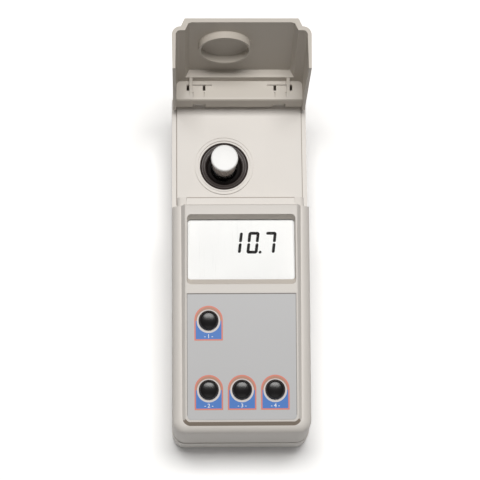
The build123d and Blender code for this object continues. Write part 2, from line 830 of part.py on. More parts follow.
with BuildPart() as vial_adapter:
    with BuildSketch(Plane.XY.offset(well_seat_z)):
        with Locations((well_x, well_y)):
            Circle(well_bore_radius - adapter_gap)
            Circle(vial_radius + vial_gap, mode=Mode.SUBTRACT)
    extrude(amount=deck_z - adapter_recess - well_seat_z)
    with BuildSketch(Plane.XY.offset(deck_z - adapter_recess - adapter_mouth_depth)):
        with Locations((well_x, well_y)):
            Circle(adapter_mouth_radius)
    extrude(amount=adapter_mouth_depth, mode=Mode.SUBTRACT)
    with BuildSketch(Plane.YZ.offset(well_x)):
        with Locations((well_y, light_axis_z)):
            Circle(light_port_radius)
    extrude(amount=well_bore_radius, both=True, mode=Mode.SUBTRACT)
vial_adapter.part.label = "vial_adapter"

vial_shoulder_z = deck_z + shoulder_above_deck
cap_top_z = deck_z + cap_top_above_deck
rim_top_z = cap_top_z - cap_disc_thickness - cap_gap
vial_floor_z = well_seat_z + 2 * vial_glass

with BuildPart() as sample_vial:
    with BuildSketch(Plane.XZ.offset(-well_y)):
        with BuildLine():
            Polyline(
                (well_x, well_seat_z), (well_x + vial_radius, well_seat_z),
                (well_x + vial_radius, vial_shoulder_z - vial_radius + neck_radius),
                (well_x + neck_radius, vial_shoulder_z), (well_x + neck_radius, rim_top_z),
                (well_x + neck_radius - neck_wall, rim_top_z),
                (well_x + neck_radius - neck_wall, vial_shoulder_z - vial_glass / 2),
                (well_x + vial_radius - vial_glass,
                 vial_shoulder_z - vial_glass / 2 - vial_radius + vial_glass + neck_radius - neck_wall),
                (well_x + vial_radius - vial_glass, vial_floor_z), (well_x, vial_floor_z),
                close=True,
            )
        make_face()
    revolve(axis=well_axis)
sample_vial.part.label = "sample_vial"

with BuildPart() as sample_liquid:
    with BuildSketch(Plane.XY.offset(vial_floor_z)):
        with Locations((well_x, well_y)):
            Circle(vial_radius - vial_glass - pin_clearance)
    extrude(amount=sample_level * (vial_shoulder_z - vial_floor_z))
sample_liquid.part.label = "sample_liquid"

with BuildPart() as vial_cap:
    with BuildSketch(Plane.XZ.offset(-well_y)):
        with BuildLine():
            Polyline(
                (well_x, cap_top_z), (well_x + cap_radius - 0.6, cap_top_z),
                (well_x + cap_radius, cap_top_z - 0.6),
                (well_x + cap_radius, cap_top_z - cap_rim_drop),
                (well_x + cap_taper_radius, cap_top_z - cap_height),
                (well_x + neck_radius + cap_gap, cap_top_z - cap_height),
                (well_x + neck_radius + cap_gap, cap_top_z - cap_disc_thickness),
                (well_x, cap_top_z - cap_disc_thickness),
                close=True,
            )
        make_face()
    revolve(axis=well_axis)
vial_cap.part.label = "vial_cap"


# Lamp, filter and light detector on the well's light ports
with BuildPart() as lamp_led:
    with BuildSketch(Plane.YZ.offset(well_x + port_reach)):
        with Locations((well_y, light_axis_z)):
            Circle(light_port_radius + 0.4)
    extrude(amount=1)
    with BuildSketch(Plane.YZ.offset(well_x + port_reach)):
        with Locations((well_y, light_axis_z)):
            Circle(light_port_radius - pin_clearance)
    extrude(amount=-3)
    fillet(lamp_led.faces().sort_by(Axis.X)[0].edges(), light_port_radius - 0.3)
    with BuildSketch(Plane.YZ.offset(well_x + port_reach + 1)):
        with Locations((well_y, light_axis_z)):
            with GridLocations(2.54, 1, 2, 1):
                Rectangle(0.5, 0.5)
    extrude(amount=9)
lamp_led.part.label = "lamp_led"

with BuildPart() as light_filter:
    with BuildSketch(Plane.YZ.offset(well_x - port_reach)):
        with Locations((well_y, light_axis_z)):
            Circle(light_port_radius + port_wall / 2)
    extrude(amount=filter_thickness)
light_filter.part.label = "light_filter"

with BuildPart() as light_detector:
    with BuildSketch(Plane.YZ.offset(well_x - port_reach)):
        with Locations((well_y, light_axis_z)):
            Circle(light_port_radius + port_wall)
    extrude(amount=-detector_depth)
light_detector.part.label = "light_detector"

with BuildPart() as optics_board:
    with BuildSketch(Plane.YZ.offset(well_x - port_reach - detector_depth)):
        with Locations((well_y, light_axis_z)):
            RectangleRounded(optics_board_width, optics_board_height, 1)
    extrude(amount=-board_thickness)
optics_board.part.label = "optics_board"


# Display
with BuildPart() as display_window:
    with BuildSketch(display_plane):
        with Locations((0, view_shift)):
            Rectangle(view_width + 2 * window_overlap, view_height + 2 * window_overlap)
    extrude(amount=-window_thickness)
display_window.part.label = "display_window"

with BuildPart() as lcd_module:
    with BuildSketch(display_plane.offset(-window_thickness - module_gap)):
        with Locations((0, view_shift)):
            Rectangle(view_width + 2 * window_overlap, view_height + 2 * window_overlap)
    extrude(amount=-module_thickness)
    with BuildSketch(display_plane.offset(-window_thickness - module_gap)):
        with Locations((0, view_shift)):
            Rectangle(view_width, view_height)
    extrude(amount=-0.4, mode=Mode.SUBTRACT)
lcd_module.part.label = "lcd_module"


# Key label and keys
with BuildPart() as keypad_label:
    with BuildSketch(panel_plane.offset(-label_recess)):
        with Locations((0, label_centre)):
            label_face = Rectangle(label_width, label_length)
        fillet(label_face.vertices().group_by(Axis.Y)[0], label_corner_radius)
        with Locations(*key_points.values()):
            Circle(key_radius + key_gap, mode=Mode.SUBTRACT)
    extrude(amount=label_thickness)
keypad_label.part.label = "keypad_label"

flange_top = -wall - cover_gap
switch_top = -board_depth + switch_body
stem_foot = switch_top + 1 + key_travel + 0.2

with BuildPart() as key_shape:
    with BuildSketch(Plane.XZ):
        with BuildLine():
            Polyline(
                (0, stem_foot), (2, stem_foot),
                (2, flange_top - key_flange_thickness),
                (key_radius + key_flange, flange_top - key_flange_thickness),
                (key_radius + key_flange, flange_top), (key_radius, flange_top),
                (key_radius, key_skirt),
            )
            dome_rise = key_proud - key_skirt
            dome_radius = (key_radius**2 + dome_rise**2) / (2 * dome_rise)
            RadiusArc((key_radius, key_skirt), (0, key_proud), -dome_radius)
            Line((0, key_proud), (0, stem_foot))
        make_face()
    revolve(axis=Axis.Z)

keys = []
for key_name, (key_x, key_y) in key_points.items():
    with BuildPart() as key:
        add(key_shape.part.moved(panel_plane.location * Pos(key_x, key_y, 0)))
    key.part.label = key_name
    keys.append(key)


# Main board, its switches and screws
with BuildPart() as main_board:
    with BuildSketch(panel_plane.offset(-board_depth)):
        with Locations((0, -board_margin - board_length / 2)):
            RectangleRounded(board_width, board_length, 1.5)
        with Locations(*board_screw_points):
            Circle(board_screw_radius + cover_gap, mode=Mode.SUBTRACT)
    extrude(amount=-board_thickness)
    with BuildSketch(panel_plane.offset(-board_depth - board_thickness)):
        with Locations((0, -board_margin - board_length / 2)):
            RectangleRounded(18, 14, 1)
        with Locations((-17, -board_margin - board_length * 0.3)):
            Rectangle(12, 9)
        with Locations((16, -board_margin - board_length * 0.72)):
            Rectangle(8, 16)
    extrude(amount=-2)
main_board.part.label = "main_board"

with BuildPart() as tact_switches:
    with BuildSketch(panel_plane.offset(-board_depth)):
        with Locations(*key_points.values()):
            Rectangle(switch_size, switch_size)
    extrude(amount=switch_body)
    with BuildSketch(panel_plane.offset(switch_top)):
        with Locations(*key_points.values()):
            Circle(1.75)
    extrude(amount=1)
tact_switches.part.label = "tact_switches"

with BuildPart() as board_screws:
    with BuildSketch(panel_plane.offset(-board_depth - board_thickness)):
        with Locations(*board_screw_points):
            Circle(board_screw_head)
    extrude(amount=-board_screw_head / 2)
    with BuildSketch(panel_plane.offset(-board_depth - board_thickness)):
        with Locations(*board_screw_points):
            Circle(board_screw_radius)
    extrude(amount=board_thickness + 5)
board_screws.part.label = "board_screws"


# Export
os.makedirs("parts", exist_ok=True)
export_step(upper_casing.part, "parts/upper_casing.step")
export_step(lower_casing.part, "parts/lower_casing.step")
export_step(lid.part, "parts/lid.step")
export_step(hinge_pins.part, "parts/hinge_pins.step")
export_step(display_window.part, "parts/display_window.step")
export_step(lcd_module.part, "parts/lcd_module.step")
export_step(keypad_label.part, "parts/keypad_label.step")
for key in keys:
    export_step(key.part, f"parts/{key.part.label}.step")
export_step(tact_switches.part, "parts/tact_switches.step")
export_step(main_board.part, "parts/main_board.step")
export_step(board_screws.part, "parts/board_screws.step")
export_step(cell_well.part, "parts/cell_well.step")
export_step(vial_adapter.part, "parts/vial_adapter.step")
export_step(lamp_led.part, "parts/lamp_led.step")
export_step(light_filter.part, "parts/light_filter.step")
export_step(light_detector.part, "parts/light_detector.step")
export_step(optics_board.part, "parts/optics_board.step")
export_step(sample_vial.part, "parts/sample_vial.step")
export_step(vial_cap.part, "parts/vial_cap.step")
export_step(sample_liquid.part, "parts/sample_liquid.step")
export_step(battery_9v.part, "parts/battery_9v.step")
export_step(battery_terminals.part, "parts/battery_terminals.step")
export_step(battery_cover.part, "parts/battery_cover.step")
export_step(rubber_feet.part, "parts/rubber_feet.step")
export_step(case_screws.part, "parts/case_screws.step")
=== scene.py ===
import json
from math import atan2, cos, hypot, pi, radians, sin, tan

import bmesh
import bpy
from bpy.props import FloatProperty, FloatVectorProperty, IntProperty, PointerProperty
from mathutils import Matrix, Vector

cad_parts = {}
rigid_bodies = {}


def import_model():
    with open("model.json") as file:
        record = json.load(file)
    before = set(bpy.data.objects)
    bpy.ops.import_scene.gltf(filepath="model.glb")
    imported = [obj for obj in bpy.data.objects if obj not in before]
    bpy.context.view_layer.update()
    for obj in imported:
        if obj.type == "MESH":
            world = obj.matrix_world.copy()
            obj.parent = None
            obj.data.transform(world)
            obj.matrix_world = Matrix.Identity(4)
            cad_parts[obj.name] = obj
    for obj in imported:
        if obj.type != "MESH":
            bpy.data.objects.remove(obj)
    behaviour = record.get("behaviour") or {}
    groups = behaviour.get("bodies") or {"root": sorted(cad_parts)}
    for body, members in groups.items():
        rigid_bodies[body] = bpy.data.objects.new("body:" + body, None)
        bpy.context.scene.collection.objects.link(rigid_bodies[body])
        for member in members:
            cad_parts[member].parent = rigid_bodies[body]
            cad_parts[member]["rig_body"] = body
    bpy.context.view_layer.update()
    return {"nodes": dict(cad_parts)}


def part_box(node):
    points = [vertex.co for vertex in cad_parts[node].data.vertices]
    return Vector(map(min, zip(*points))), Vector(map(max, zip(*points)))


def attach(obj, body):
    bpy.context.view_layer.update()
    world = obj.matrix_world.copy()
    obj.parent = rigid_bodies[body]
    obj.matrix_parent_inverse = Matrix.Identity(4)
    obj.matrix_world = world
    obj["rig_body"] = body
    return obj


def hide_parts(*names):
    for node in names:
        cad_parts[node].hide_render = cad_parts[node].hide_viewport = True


bl_info = {
    "name": "Peroxide Meter",
    "version": (1, 0, 0),
    "blender": (4, 5, 0),
    "location": "3D View > Sidebar > Meter",
    "description": "Dresses the CAD model of a bench peroxide meter",
    "category": "Object",
}

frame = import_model()

MM = 0.001

# How near a corner has to be to a place to count as there
NEAR = 0.05 * MM

# Places on the casing, taken from the CAD
casing_low, casing_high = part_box("lower_casing")
HALF_WIDTH = casing_high.x
FRONT_Y = casing_low.y
REAR_Y = casing_high.y
PANEL_TOP_Z = 80 * MM
PANEL_EDGE_Y = FRONT_Y + 139 * MM
PANEL_SLOPE = radians(8)
SHELF_Y = PANEL_EDGE_Y + 5.3 * MM
WELL_X = -9.6 * MM
WELL_Y = FRONT_Y + 170.6 * MM

# Places on the panel: the display window's middle and face, the label's face, the keys' centres
DISPLAY_Y = -27.15 * MM
DISPLAY_Z = -4 * MM
DISPLAY_TILT = radians(4.2)
LABEL_Z = -0.1 * MM
KEYS = {
    "power": (-20.0 * MM, -70.6 * MM),
    "zero": (-20.0 * MM, -112.3 * MM),
    "timer": (0.0 * MM, -112.3 * MM),
    "read": (20.0 * MM, -112.3 * MM),
}


def linear(red, green, blue):
    """Linear colour of a display colour given from 0 to 255."""
    levels = []
    for level in (red, green, blue):
        share = level / 255
        levels.append(share / 12.92 if share <= 0.04045 else ((share + 0.055) / 1.055) ** 2.4)
    return tuple(levels)


def panel_matrix():
    """Place of the raised panel: x to the right, y up the slope, z out of it."""
    return Matrix.Translation((0, PANEL_EDGE_Y, PANEL_TOP_Z)) @ Matrix.Rotation(PANEL_SLOPE, 4, "X")


def display_matrix():
    """Place of the display window's front face, at the middle of its opening."""
    middle = panel_matrix() @ Vector((0, DISPLAY_Y, DISPLAY_Z))
    return Matrix.Translation(middle) @ Matrix.Rotation(PANEL_SLOPE - DISPLAY_TILT, 4, "X")


# Sizes and colours a user would change
def length(name, description, default):
    """A size in metres, shown in the scene's units."""
    return FloatProperty(
        name=name, description=description, default=default, min=0.0, precision=5, unit="LENGTH"
    )


def colour(name, description, default):
    """A colour."""
    return FloatVectorProperty(
        name=name, description=description, default=default, min=0.0, max=1.0,
        size=3, subtype="COLOR",
    )


class MeterSizes(bpy.types.PropertyGroup):
    """Sizes of the pieces that the scene adds"""

    edge_round: length("Edge rounding", "Rounding of the moulded edges", 0.35 * MM)
    parting_step: length("Parting step", "How far the upper casing's foot stands back", 0.5 * MM)
    badge_half_width: length("Badge half width", "Half the width of a key's badge", 8.6 * MM)
    badge_rise: length("Badge rise", "From a key's centre to the top of its badge", 8.9 * MM)
    badge_drop: length("Badge drop", "From a key's centre to the foot of its badge", 12.1 * MM)
    badge_line: length("Badge outline", "Width of the badge's outline", 0.85 * MM)
    ring_radius: length("Ring radius", "Outer radius of the pale ring round a key", 7.1 * MM)
    ring_drop: length("Ring drop", "How far the ring sits below the key's centre", 0.45 * MM)
    hole_radius: length("Hole radius", "Radius of the label's hole round a key", 6.05 * MM)
    ink_depth: length("Ink depth", "Thickness of the printed layers", 0.04 * MM)
    mark_height: length("Mark height", "Height of the number under a key", 2.3 * MM)
    digit_height: length("Digit height", "Height of the display's digits", 13.4 * MM)
    digit_width: length("Digit width", "Width of the display's digits", 6.8 * MM)
    digit_stroke: length("Digit stroke", "Width of a digit's segments", 1.8 * MM)
    cap_ribs: IntProperty(
        name="Cap ribs", description="Number of grip ribs round the vial's cap", default=30, min=3
    )


class MeterColours(bpy.types.PropertyGroup):
    """Colours of the meter's finishes, and of the painted shade on the casing and round the label"""

    casing: colour("Casing", "Warm grey of the upper casing", linear(223, 218, 212))
    base: colour("Lower casing", "Paler grey of the lower casing", linear(232, 228, 223))
    # Painted shade: the walls round the display get a darker tone than the casing, standing in for
    # the shade that falls in the recess
    recess: colour("Display recess", "Walls round the display", linear(205, 197, 188))
    # Painted shade: the slope in front of the panel gets a darker tone, standing in for the light it
    # does not get
    step: colour("Front step", "Slope in front of the panel", linear(160, 147, 134))
    # Painted shadow: the thin dark strips along the deck's ledges and the shelf's edge
    seam: colour("Seam", "Shadow in the casing's fine grooves", linear(176, 166, 158))
    # Painted shade: thin dark strips round the label stand in for the shade in the gap round it
    edge_shade: colour("Label border", "Thin dark line round the label", linear(126, 120, 117))
    lid: colour("Lid", "Warm grey of the lid", linear(195, 188, 178))
    label: colour("Label", "Grey film of the key label", linear(196, 196, 197))
    badge_line: colour("Badge outline", "Warm red line round a key", linear(226, 132, 112))
    badge_arch: colour("Badge arch", "Warm tone inside the badge's arch", linear(188, 138, 116))
    badge_fill: colour("Badge fill", "Blue fill at the badge's foot", linear(66, 124, 204))
    ring: colour("Key ring", "Pale ring round a key", linear(222, 216, 214))
    mark: colour("Key mark", "White number under a key", linear(236, 240, 246))
    key: colour("Key", "Glossy black of the keys", linear(26, 24, 25))
    display: colour("Display", "White ground of the display", linear(244, 245, 244))
    digit: colour("Digit", "Black of the display's digits", linear(20, 18, 19))
    well: colour("Well", "Black plastic of the measuring well", linear(64, 55, 52))
    cap: colour("Cap", "White disc of the vial's cap", linear(241, 241, 240))
    skirt: colour("Cap skirt", "Grey of the cap's ribbed side", linear(176, 168, 164))


class StageSettings(bpy.types.PropertyGroup):
    """Lights and camera"""

    top_power: FloatProperty(
        name="Top light", description="Power of the soft light overhead", default=44.8, unit="POWER"
    )
    fill_power: FloatProperty(
        name="Front fill", description="Power of the weak light in front", default=4.4, unit="POWER"
    )
    sky_level: FloatProperty(
        name="Sky", description="Level of the light from all round", default=0.10, min=0.0
    )
    focal_length: FloatProperty(
        name="Focal length", description="Camera lens", default=141.3, unit="CAMERA"
    )


# Meshes
def new_mesh(bm, name):
    """Turns a bmesh into a mesh."""
    mesh = bpy.data.meshes.new(name)
    bm.to_mesh(mesh)
    bm.free()
    return mesh


def new_object(name, data):
    """Puts a new object into the scene."""
    made = bpy.data.objects.new(name, data)
    bpy.context.scene.collection.objects.link(made)
    return made


def new_piece(bm, name, body, materials, smooth=35, stands_for=()):
    """Turns a bmesh into a piece that rides on a body."""
    mesh = new_mesh(bm, name)
    normals = mesh.attributes.get("custom_normal")
    if normals:
        mesh.attributes.remove(normals)
    for finish in materials:
        mesh.materials.append(finish)
    mesh.shade_smooth()
    mesh.set_sharp_from_angle(angle=radians(smooth))
    piece = new_object(name, mesh)
    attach(piece, body)
    if stands_for:
        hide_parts(*stands_for)
    return piece


def soften(piece, width, segments=2, angle=35):
    """Rounds a piece's sharp edges."""
    edges = piece.modifiers.new("soft edges", "BEVEL")
    edges.width = width
    edges.segments = segments
    edges.limit_method = "ANGLE"
    edges.angle_limit = radians(angle)
    edges.use_clamp_overlap = True
    edges.harden_normals = True


def merged_copy(node, whole_faces=True):
    """A bmesh of a CAD node with its loose triangles joined, and its flat faces made whole."""
    bm = bmesh.new()
    bm.from_mesh(frame["nodes"][node].data)
    bmesh.ops.remove_doubles(bm, verts=bm.verts, dist=2e-6)
    if whole_faces:
        bmesh.ops.dissolve_limit(bm, angle_limit=radians(0.4), verts=bm.verts, edges=bm.edges)
    return bm


def body_of_node(node):
    """The body that a CAD node rides on."""
    return frame["nodes"][node]["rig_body"]


def dressed_copy(node, name, finish, rounding=0.0):
    """Makes a merged copy of a CAD node, with soft edges, that stands for it."""
    piece = new_piece(merged_copy(node), name, body_of_node(node), [finish], stands_for=[node])
    if rounding:
        soften(piece, rounding)


def paint_node(node, finish):
    """Gives a CAD node a finish."""
    slots = frame["nodes"][node].material_slots
    if not slots:
        frame["nodes"][node].data.materials.append(finish)
    for entry in slots:
        entry.material = finish


def lathe(profile, segments=96):
    """A surface turned about the z axis, from points as radius and height in millimetres."""
    bm = bmesh.new()
    corners = [bm.verts.new((radius * MM, 0, height * MM)) for radius, height in profile]
    lines = [bm.edges.new(pair) for pair in zip(corners, corners[1:])]
    bmesh.ops.spin(
        bm, geom=corners + lines, cent=(0, 0, 0), axis=(0, 0, 1),
        angle=2 * pi, steps=segments, use_merge=True,
    )
    bmesh.ops.remove_doubles(bm, verts=bm.verts, dist=1e-7)
    bmesh.ops.recalc_face_normals(bm, faces=bm.faces)
    return bm


def arc(centre, radius, start, end, steps):
    """Points of an arc in a profile, with its angles in degrees."""
    turns = [radians(start + (end - start) * i / steps) for i in range(steps + 1)]
    return [(centre[0] + radius * cos(t), centre[1] + radius * sin(t)) for t in turns]


def place(bm, matrix):
    """Moves a whole bmesh."""
    bmesh.ops.transform(bm, matrix=matrix, verts=bm.verts)
    return bm


def thicken(bm, depth):
    """Gives flat faces that look up a depth below them."""
    bmesh.ops.recalc_face_normals(bm, faces=bm.faces)
    if sum(face.normal.z for face in bm.faces) < 0:
        bmesh.ops.reverse_faces(bm, faces=bm.faces)
    bmesh.ops.solidify(bm, geom=bm.faces, thickness=depth)


def strip(bm, matrix, width, run):
    """Adds a line as a very thin block."""
    shape = Matrix.Diagonal((width, run, 0.03 * MM, 1))
    bmesh.ops.create_cube(bm, size=1.0, matrix=matrix @ shape)


def plate(bm, size, corner, segments):
    """Adds a flat rectangle with rounded corners, or pointed ones with few segments."""
    bmesh.ops.create_grid(bm, x_segments=1, y_segments=1, size=0.5)
    bmesh.ops.scale(bm, vec=(*size, 1), verts=bm.verts)
    bmesh.ops.bevel(
        bm, geom=bm.verts[:], offset=corner, offset_type="OFFSET", affect="VERTICES",
        segments=segments, profile=0.5, material=-1, clamp_overlap=True,
    )


# Effects that more than one material uses
def effect(name, inputs, outputs):
    """An empty node group with its named inputs and outputs, where a colour is called Colour."""
    kinds = {"Colour": "NodeSocketColor"}
    group = bpy.data.node_groups.new(name, "ShaderNodeTree")
    for label, default in inputs.items():
        kind = kinds.get(label, "NodeSocketFloat")
        socket = group.interface.new_socket(label, in_out="INPUT", socket_type=kind)
        socket.default_value = default
    for label in outputs:
        kind = kinds.get(label, "NodeSocketFloat")
        group.interface.new_socket(label, in_out="OUTPUT", socket_type=kind)
    source = group.nodes.new("NodeGroupInput")
    result = group.nodes.new("NodeGroupOutput")
    return group, source, result


def set_inputs(node, values):
    """Sets inputs of a node by their names."""
    for name, value in values.items():
        node.inputs[name].default_value = value


def effect_node(tree, group):
    """A node that holds a shared effect."""
    node = tree.nodes.new("ShaderNodeGroup")
    node.node_tree = group
    return node


def noise(tree, scale, detail=3.0, rough=0.5):
    """A noise texture on object coordinates."""
    where = tree.nodes.new("ShaderNodeTexCoord")
    texture = tree.nodes.new("ShaderNodeTexNoise")
    tree.links.new(where.outputs["Object"], texture.inputs["Vector"])
    set_inputs(texture, {"Scale": scale, "Detail": detail, "Roughness": rough})
    return texture


def calculate(tree, operation, first, second, third=None):
    """A math node, with each term a number or an output."""
    node = tree.nodes.new("ShaderNodeMath")
    node.operation = operation
    terms = [first, second] if third is None else [first, second, third]
    for socket, term in zip(node.inputs, terms):
        if isinstance(term, (int, float)):
            socket.default_value = term
        else:
            tree.links.new(term, socket)
    return node.outputs[0]


def spread_about(tree, value, amount, middle):
    """middle plus amount times how far value is from a half."""
    offset = calculate(tree, "SUBTRACT", value, 0.5)
    twice = calculate(tree, "MULTIPLY", offset, 2.0)
    return calculate(tree, "MULTIPLY_ADD", twice, amount, middle)


def moulded_surface():
    """Fine grain, faint tone patches and uneven gloss of a moulding."""
    group = bpy.data.node_groups.get("moulded surface")
    if group:
        return group
    inputs = {
        "Colour": (0.8, 0.8, 0.8, 1.0),
        "Tone Spread": 0.02,
        "Roughness": 0.5,
        "Roughness Spread": 0.05,
        "Grain Scale": 2200.0,
        "Patch Scale": 45.0,
    }
    group, source, result = effect("moulded surface", inputs, ("Colour", "Roughness", "Height"))
    grain = noise(group, 2200.0, 2.0)
    patches = noise(group, 45.0, 4.0)
    group.links.new(source.outputs["Grain Scale"], grain.inputs["Scale"])
    group.links.new(source.outputs["Patch Scale"], patches.inputs["Scale"])
    tone = spread_about(group, patches.outputs[0], source.outputs["Tone Spread"], 1.0)
    fleck = spread_about(group, grain.outputs[0], source.outputs["Tone Spread"], 1.0)
    both = calculate(group, "MULTIPLY", tone, fleck)
    tint = group.nodes.new("ShaderNodeVectorMath")
    tint.operation = "SCALE"
    group.links.new(source.outputs["Colour"], tint.inputs[0])
    group.links.new(both, tint.inputs["Scale"])
    gloss = spread_about(
        group, patches.outputs[0], source.outputs["Roughness Spread"], source.outputs["Roughness"]
    )
    group.links.new(tint.outputs[0], result.inputs["Colour"])
    group.links.new(gloss, result.inputs["Roughness"])
    group.links.new(grain.outputs[0], result.inputs["Height"])
    return group


def handling_marks():
    """Faint smears and hairlines left by wiping and handling."""
    group = bpy.data.node_groups.get("handling marks")
    if group:
        return group
    inputs = {"Smear Scale": 60.0, "Hairline Scale": 900.0}
    group, source, result = effect("handling marks", inputs, ("Smears", "Hairlines"))
    smears = noise(group, 60.0, 5.0, 0.6)
    group.links.new(source.outputs["Smear Scale"], smears.inputs["Scale"])
    where = group.nodes.new("ShaderNodeTexCoord")
    stretch = group.nodes.new("ShaderNodeMapping")
    set_inputs(stretch, {"Rotation": (0.0, 0.0, radians(24)), "Scale": (1.0, 0.04, 0.04)})
    lines = group.nodes.new("ShaderNodeTexNoise")
    group.links.new(where.outputs["Object"], stretch.inputs["Vector"])
    group.links.new(stretch.outputs["Vector"], lines.inputs["Vector"])
    group.links.new(source.outputs["Hairline Scale"], lines.inputs["Scale"])
    sharp = group.nodes.new("ShaderNodeMapRange")
    set_inputs(sharp, {"From Min": 0.62, "From Max": 0.72})
    group.links.new(lines.outputs[0], sharp.inputs["Value"])
    group.links.new(smears.outputs[0], result.inputs["Smears"])
    group.links.new(sharp.outputs["Result"], result.inputs["Hairlines"])
    return group


# Materials
def new_material(name):
    """A material with its node tree and its main shader."""
    made = bpy.data.materials.new(name)
    made.use_nodes = True
    return made, made.node_tree, made.node_tree.nodes["Principled BSDF"]


def bump(tree, shader, height, strength):
    """Feeds a height of a few hundredths of a millimetre to the shader's normal."""
    relief = tree.nodes.new("ShaderNodeBump")
    set_inputs(relief, {"Strength": strength, "Distance": 0.03 * MM})
    tree.links.new(height, relief.inputs["Height"])
    tree.links.new(relief.outputs["Normal"], shader.inputs["Normal"])


def plastic(
    name, tint, roughness=0.5, grain=2200.0, relief=0.25, tone=0.02, gloss_spread=0.05,
    patch=45.0, reflectance=0.5,
):
    """Moulded plastic or rubber with a fine grain."""
    ready = bpy.data.materials.get(name)
    if ready:
        return ready
    made, tree, shader = new_material(name)
    surface = effect_node(tree, moulded_surface())
    set_inputs(surface, {
        "Colour": (*tint, 1.0), "Tone Spread": tone, "Roughness": roughness,
        "Roughness Spread": gloss_spread, "Grain Scale": grain, "Patch Scale": patch,
    })
    tree.links.new(surface.outputs["Colour"], shader.inputs["Base Color"])
    tree.links.new(surface.outputs["Roughness"], shader.inputs["Roughness"])
    shader.inputs["Specular IOR Level"].default_value = reflectance
    bump(tree, shader, surface.outputs["Height"], relief)
    return made


def ink(name, tint, tone):
    """Smooth printed ink with uneven tone."""
    return plastic(name, tint, 0.4, 3000.0, relief=0.05, tone=tone)


def metal(name, tint, roughness=0.3, grain=1500.0):
    """Turned or stamped metal."""
    made = plastic(
        name, tint, roughness, grain, relief=0.15, tone=0.05, gloss_spread=0.1, patch=200.0
    )
    made.node_tree.nodes["Principled BSDF"].inputs["Metallic"].default_value = 1.0
    return made


def clear(name, tint, roughness, index):
    """Clear glass or liquid, with smears in its gloss."""
    ready = bpy.data.materials.get(name)
    if ready:
        return ready
    made, tree, shader = new_material(name)
    marks = effect_node(tree, handling_marks())
    set_inputs(shader, {"Base Color": (*tint, 1.0), "Transmission Weight": 1.0, "IOR": index})
    gloss = calculate(tree, "MULTIPLY_ADD", marks.outputs["Smears"], 0.04, roughness)
    tree.links.new(gloss, shader.inputs["Roughness"])
    return made


def window_pane(name):
    """Thin clear pane that lets the display show, with faint wiping marks."""
    made, tree, shader = new_material(name)
    marks = effect_node(tree, handling_marks())
    shader.inputs["Base Color"].default_value = (0.08, 0.08, 0.08, 1.0)
    veil = calculate(tree, "MULTIPLY_ADD", marks.outputs["Smears"], 0.02, 0.01)
    streaks = calculate(tree, "MULTIPLY_ADD", marks.outputs["Hairlines"], 0.02, veil)
    tree.links.new(streaks, shader.inputs["Alpha"])
    gloss = calculate(tree, "MULTIPLY_ADD", marks.outputs["Smears"], 0.08, 0.04)
    tree.links.new(gloss, shader.inputs["Roughness"])
    return made


def circuit_board(name, tint):
    """Solder resist over copper tracks."""
    made, tree, shader = new_material(name)
    where = tree.nodes.new("ShaderNodeTexCoord")
    tracks = tree.nodes.new("ShaderNodeTexBrick")
    set_inputs(tracks, {
        "Scale": 160.0,
        "Color1": (*tint, 1.0),
        "Color2": (tint[0] * 1.5, tint[1] * 1.4, tint[2] * 1.4, 1.0),
        "Mortar": (tint[0] * 0.6, tint[1] * 0.7, tint[2] * 0.6, 1.0),
    })
    tree.links.new(where.outputs["Object"], tracks.inputs["Vector"])
    tree.links.new(tracks.outputs["Color"], shader.inputs["Base Color"])
    grain = noise(tree, 700.0)
    gloss = calculate(tree, "MULTIPLY_ADD", grain.outputs[0], 0.2, 0.25)
    tree.links.new(gloss, shader.inputs["Roughness"])
    bump(tree, shader, tracks.outputs["Fac"], 0.3)
    return made


# Operators, one for each piece or group of like pieces
class BuildOperator:
    """What the building operators share"""

    bl_options = {"REGISTER", "UNDO"}

    def execute(self, context):
        """Builds the pieces."""
        scene = context.scene
        self.build(scene.meter_sizes, scene.meter_colours)
        return {"FINISHED"}


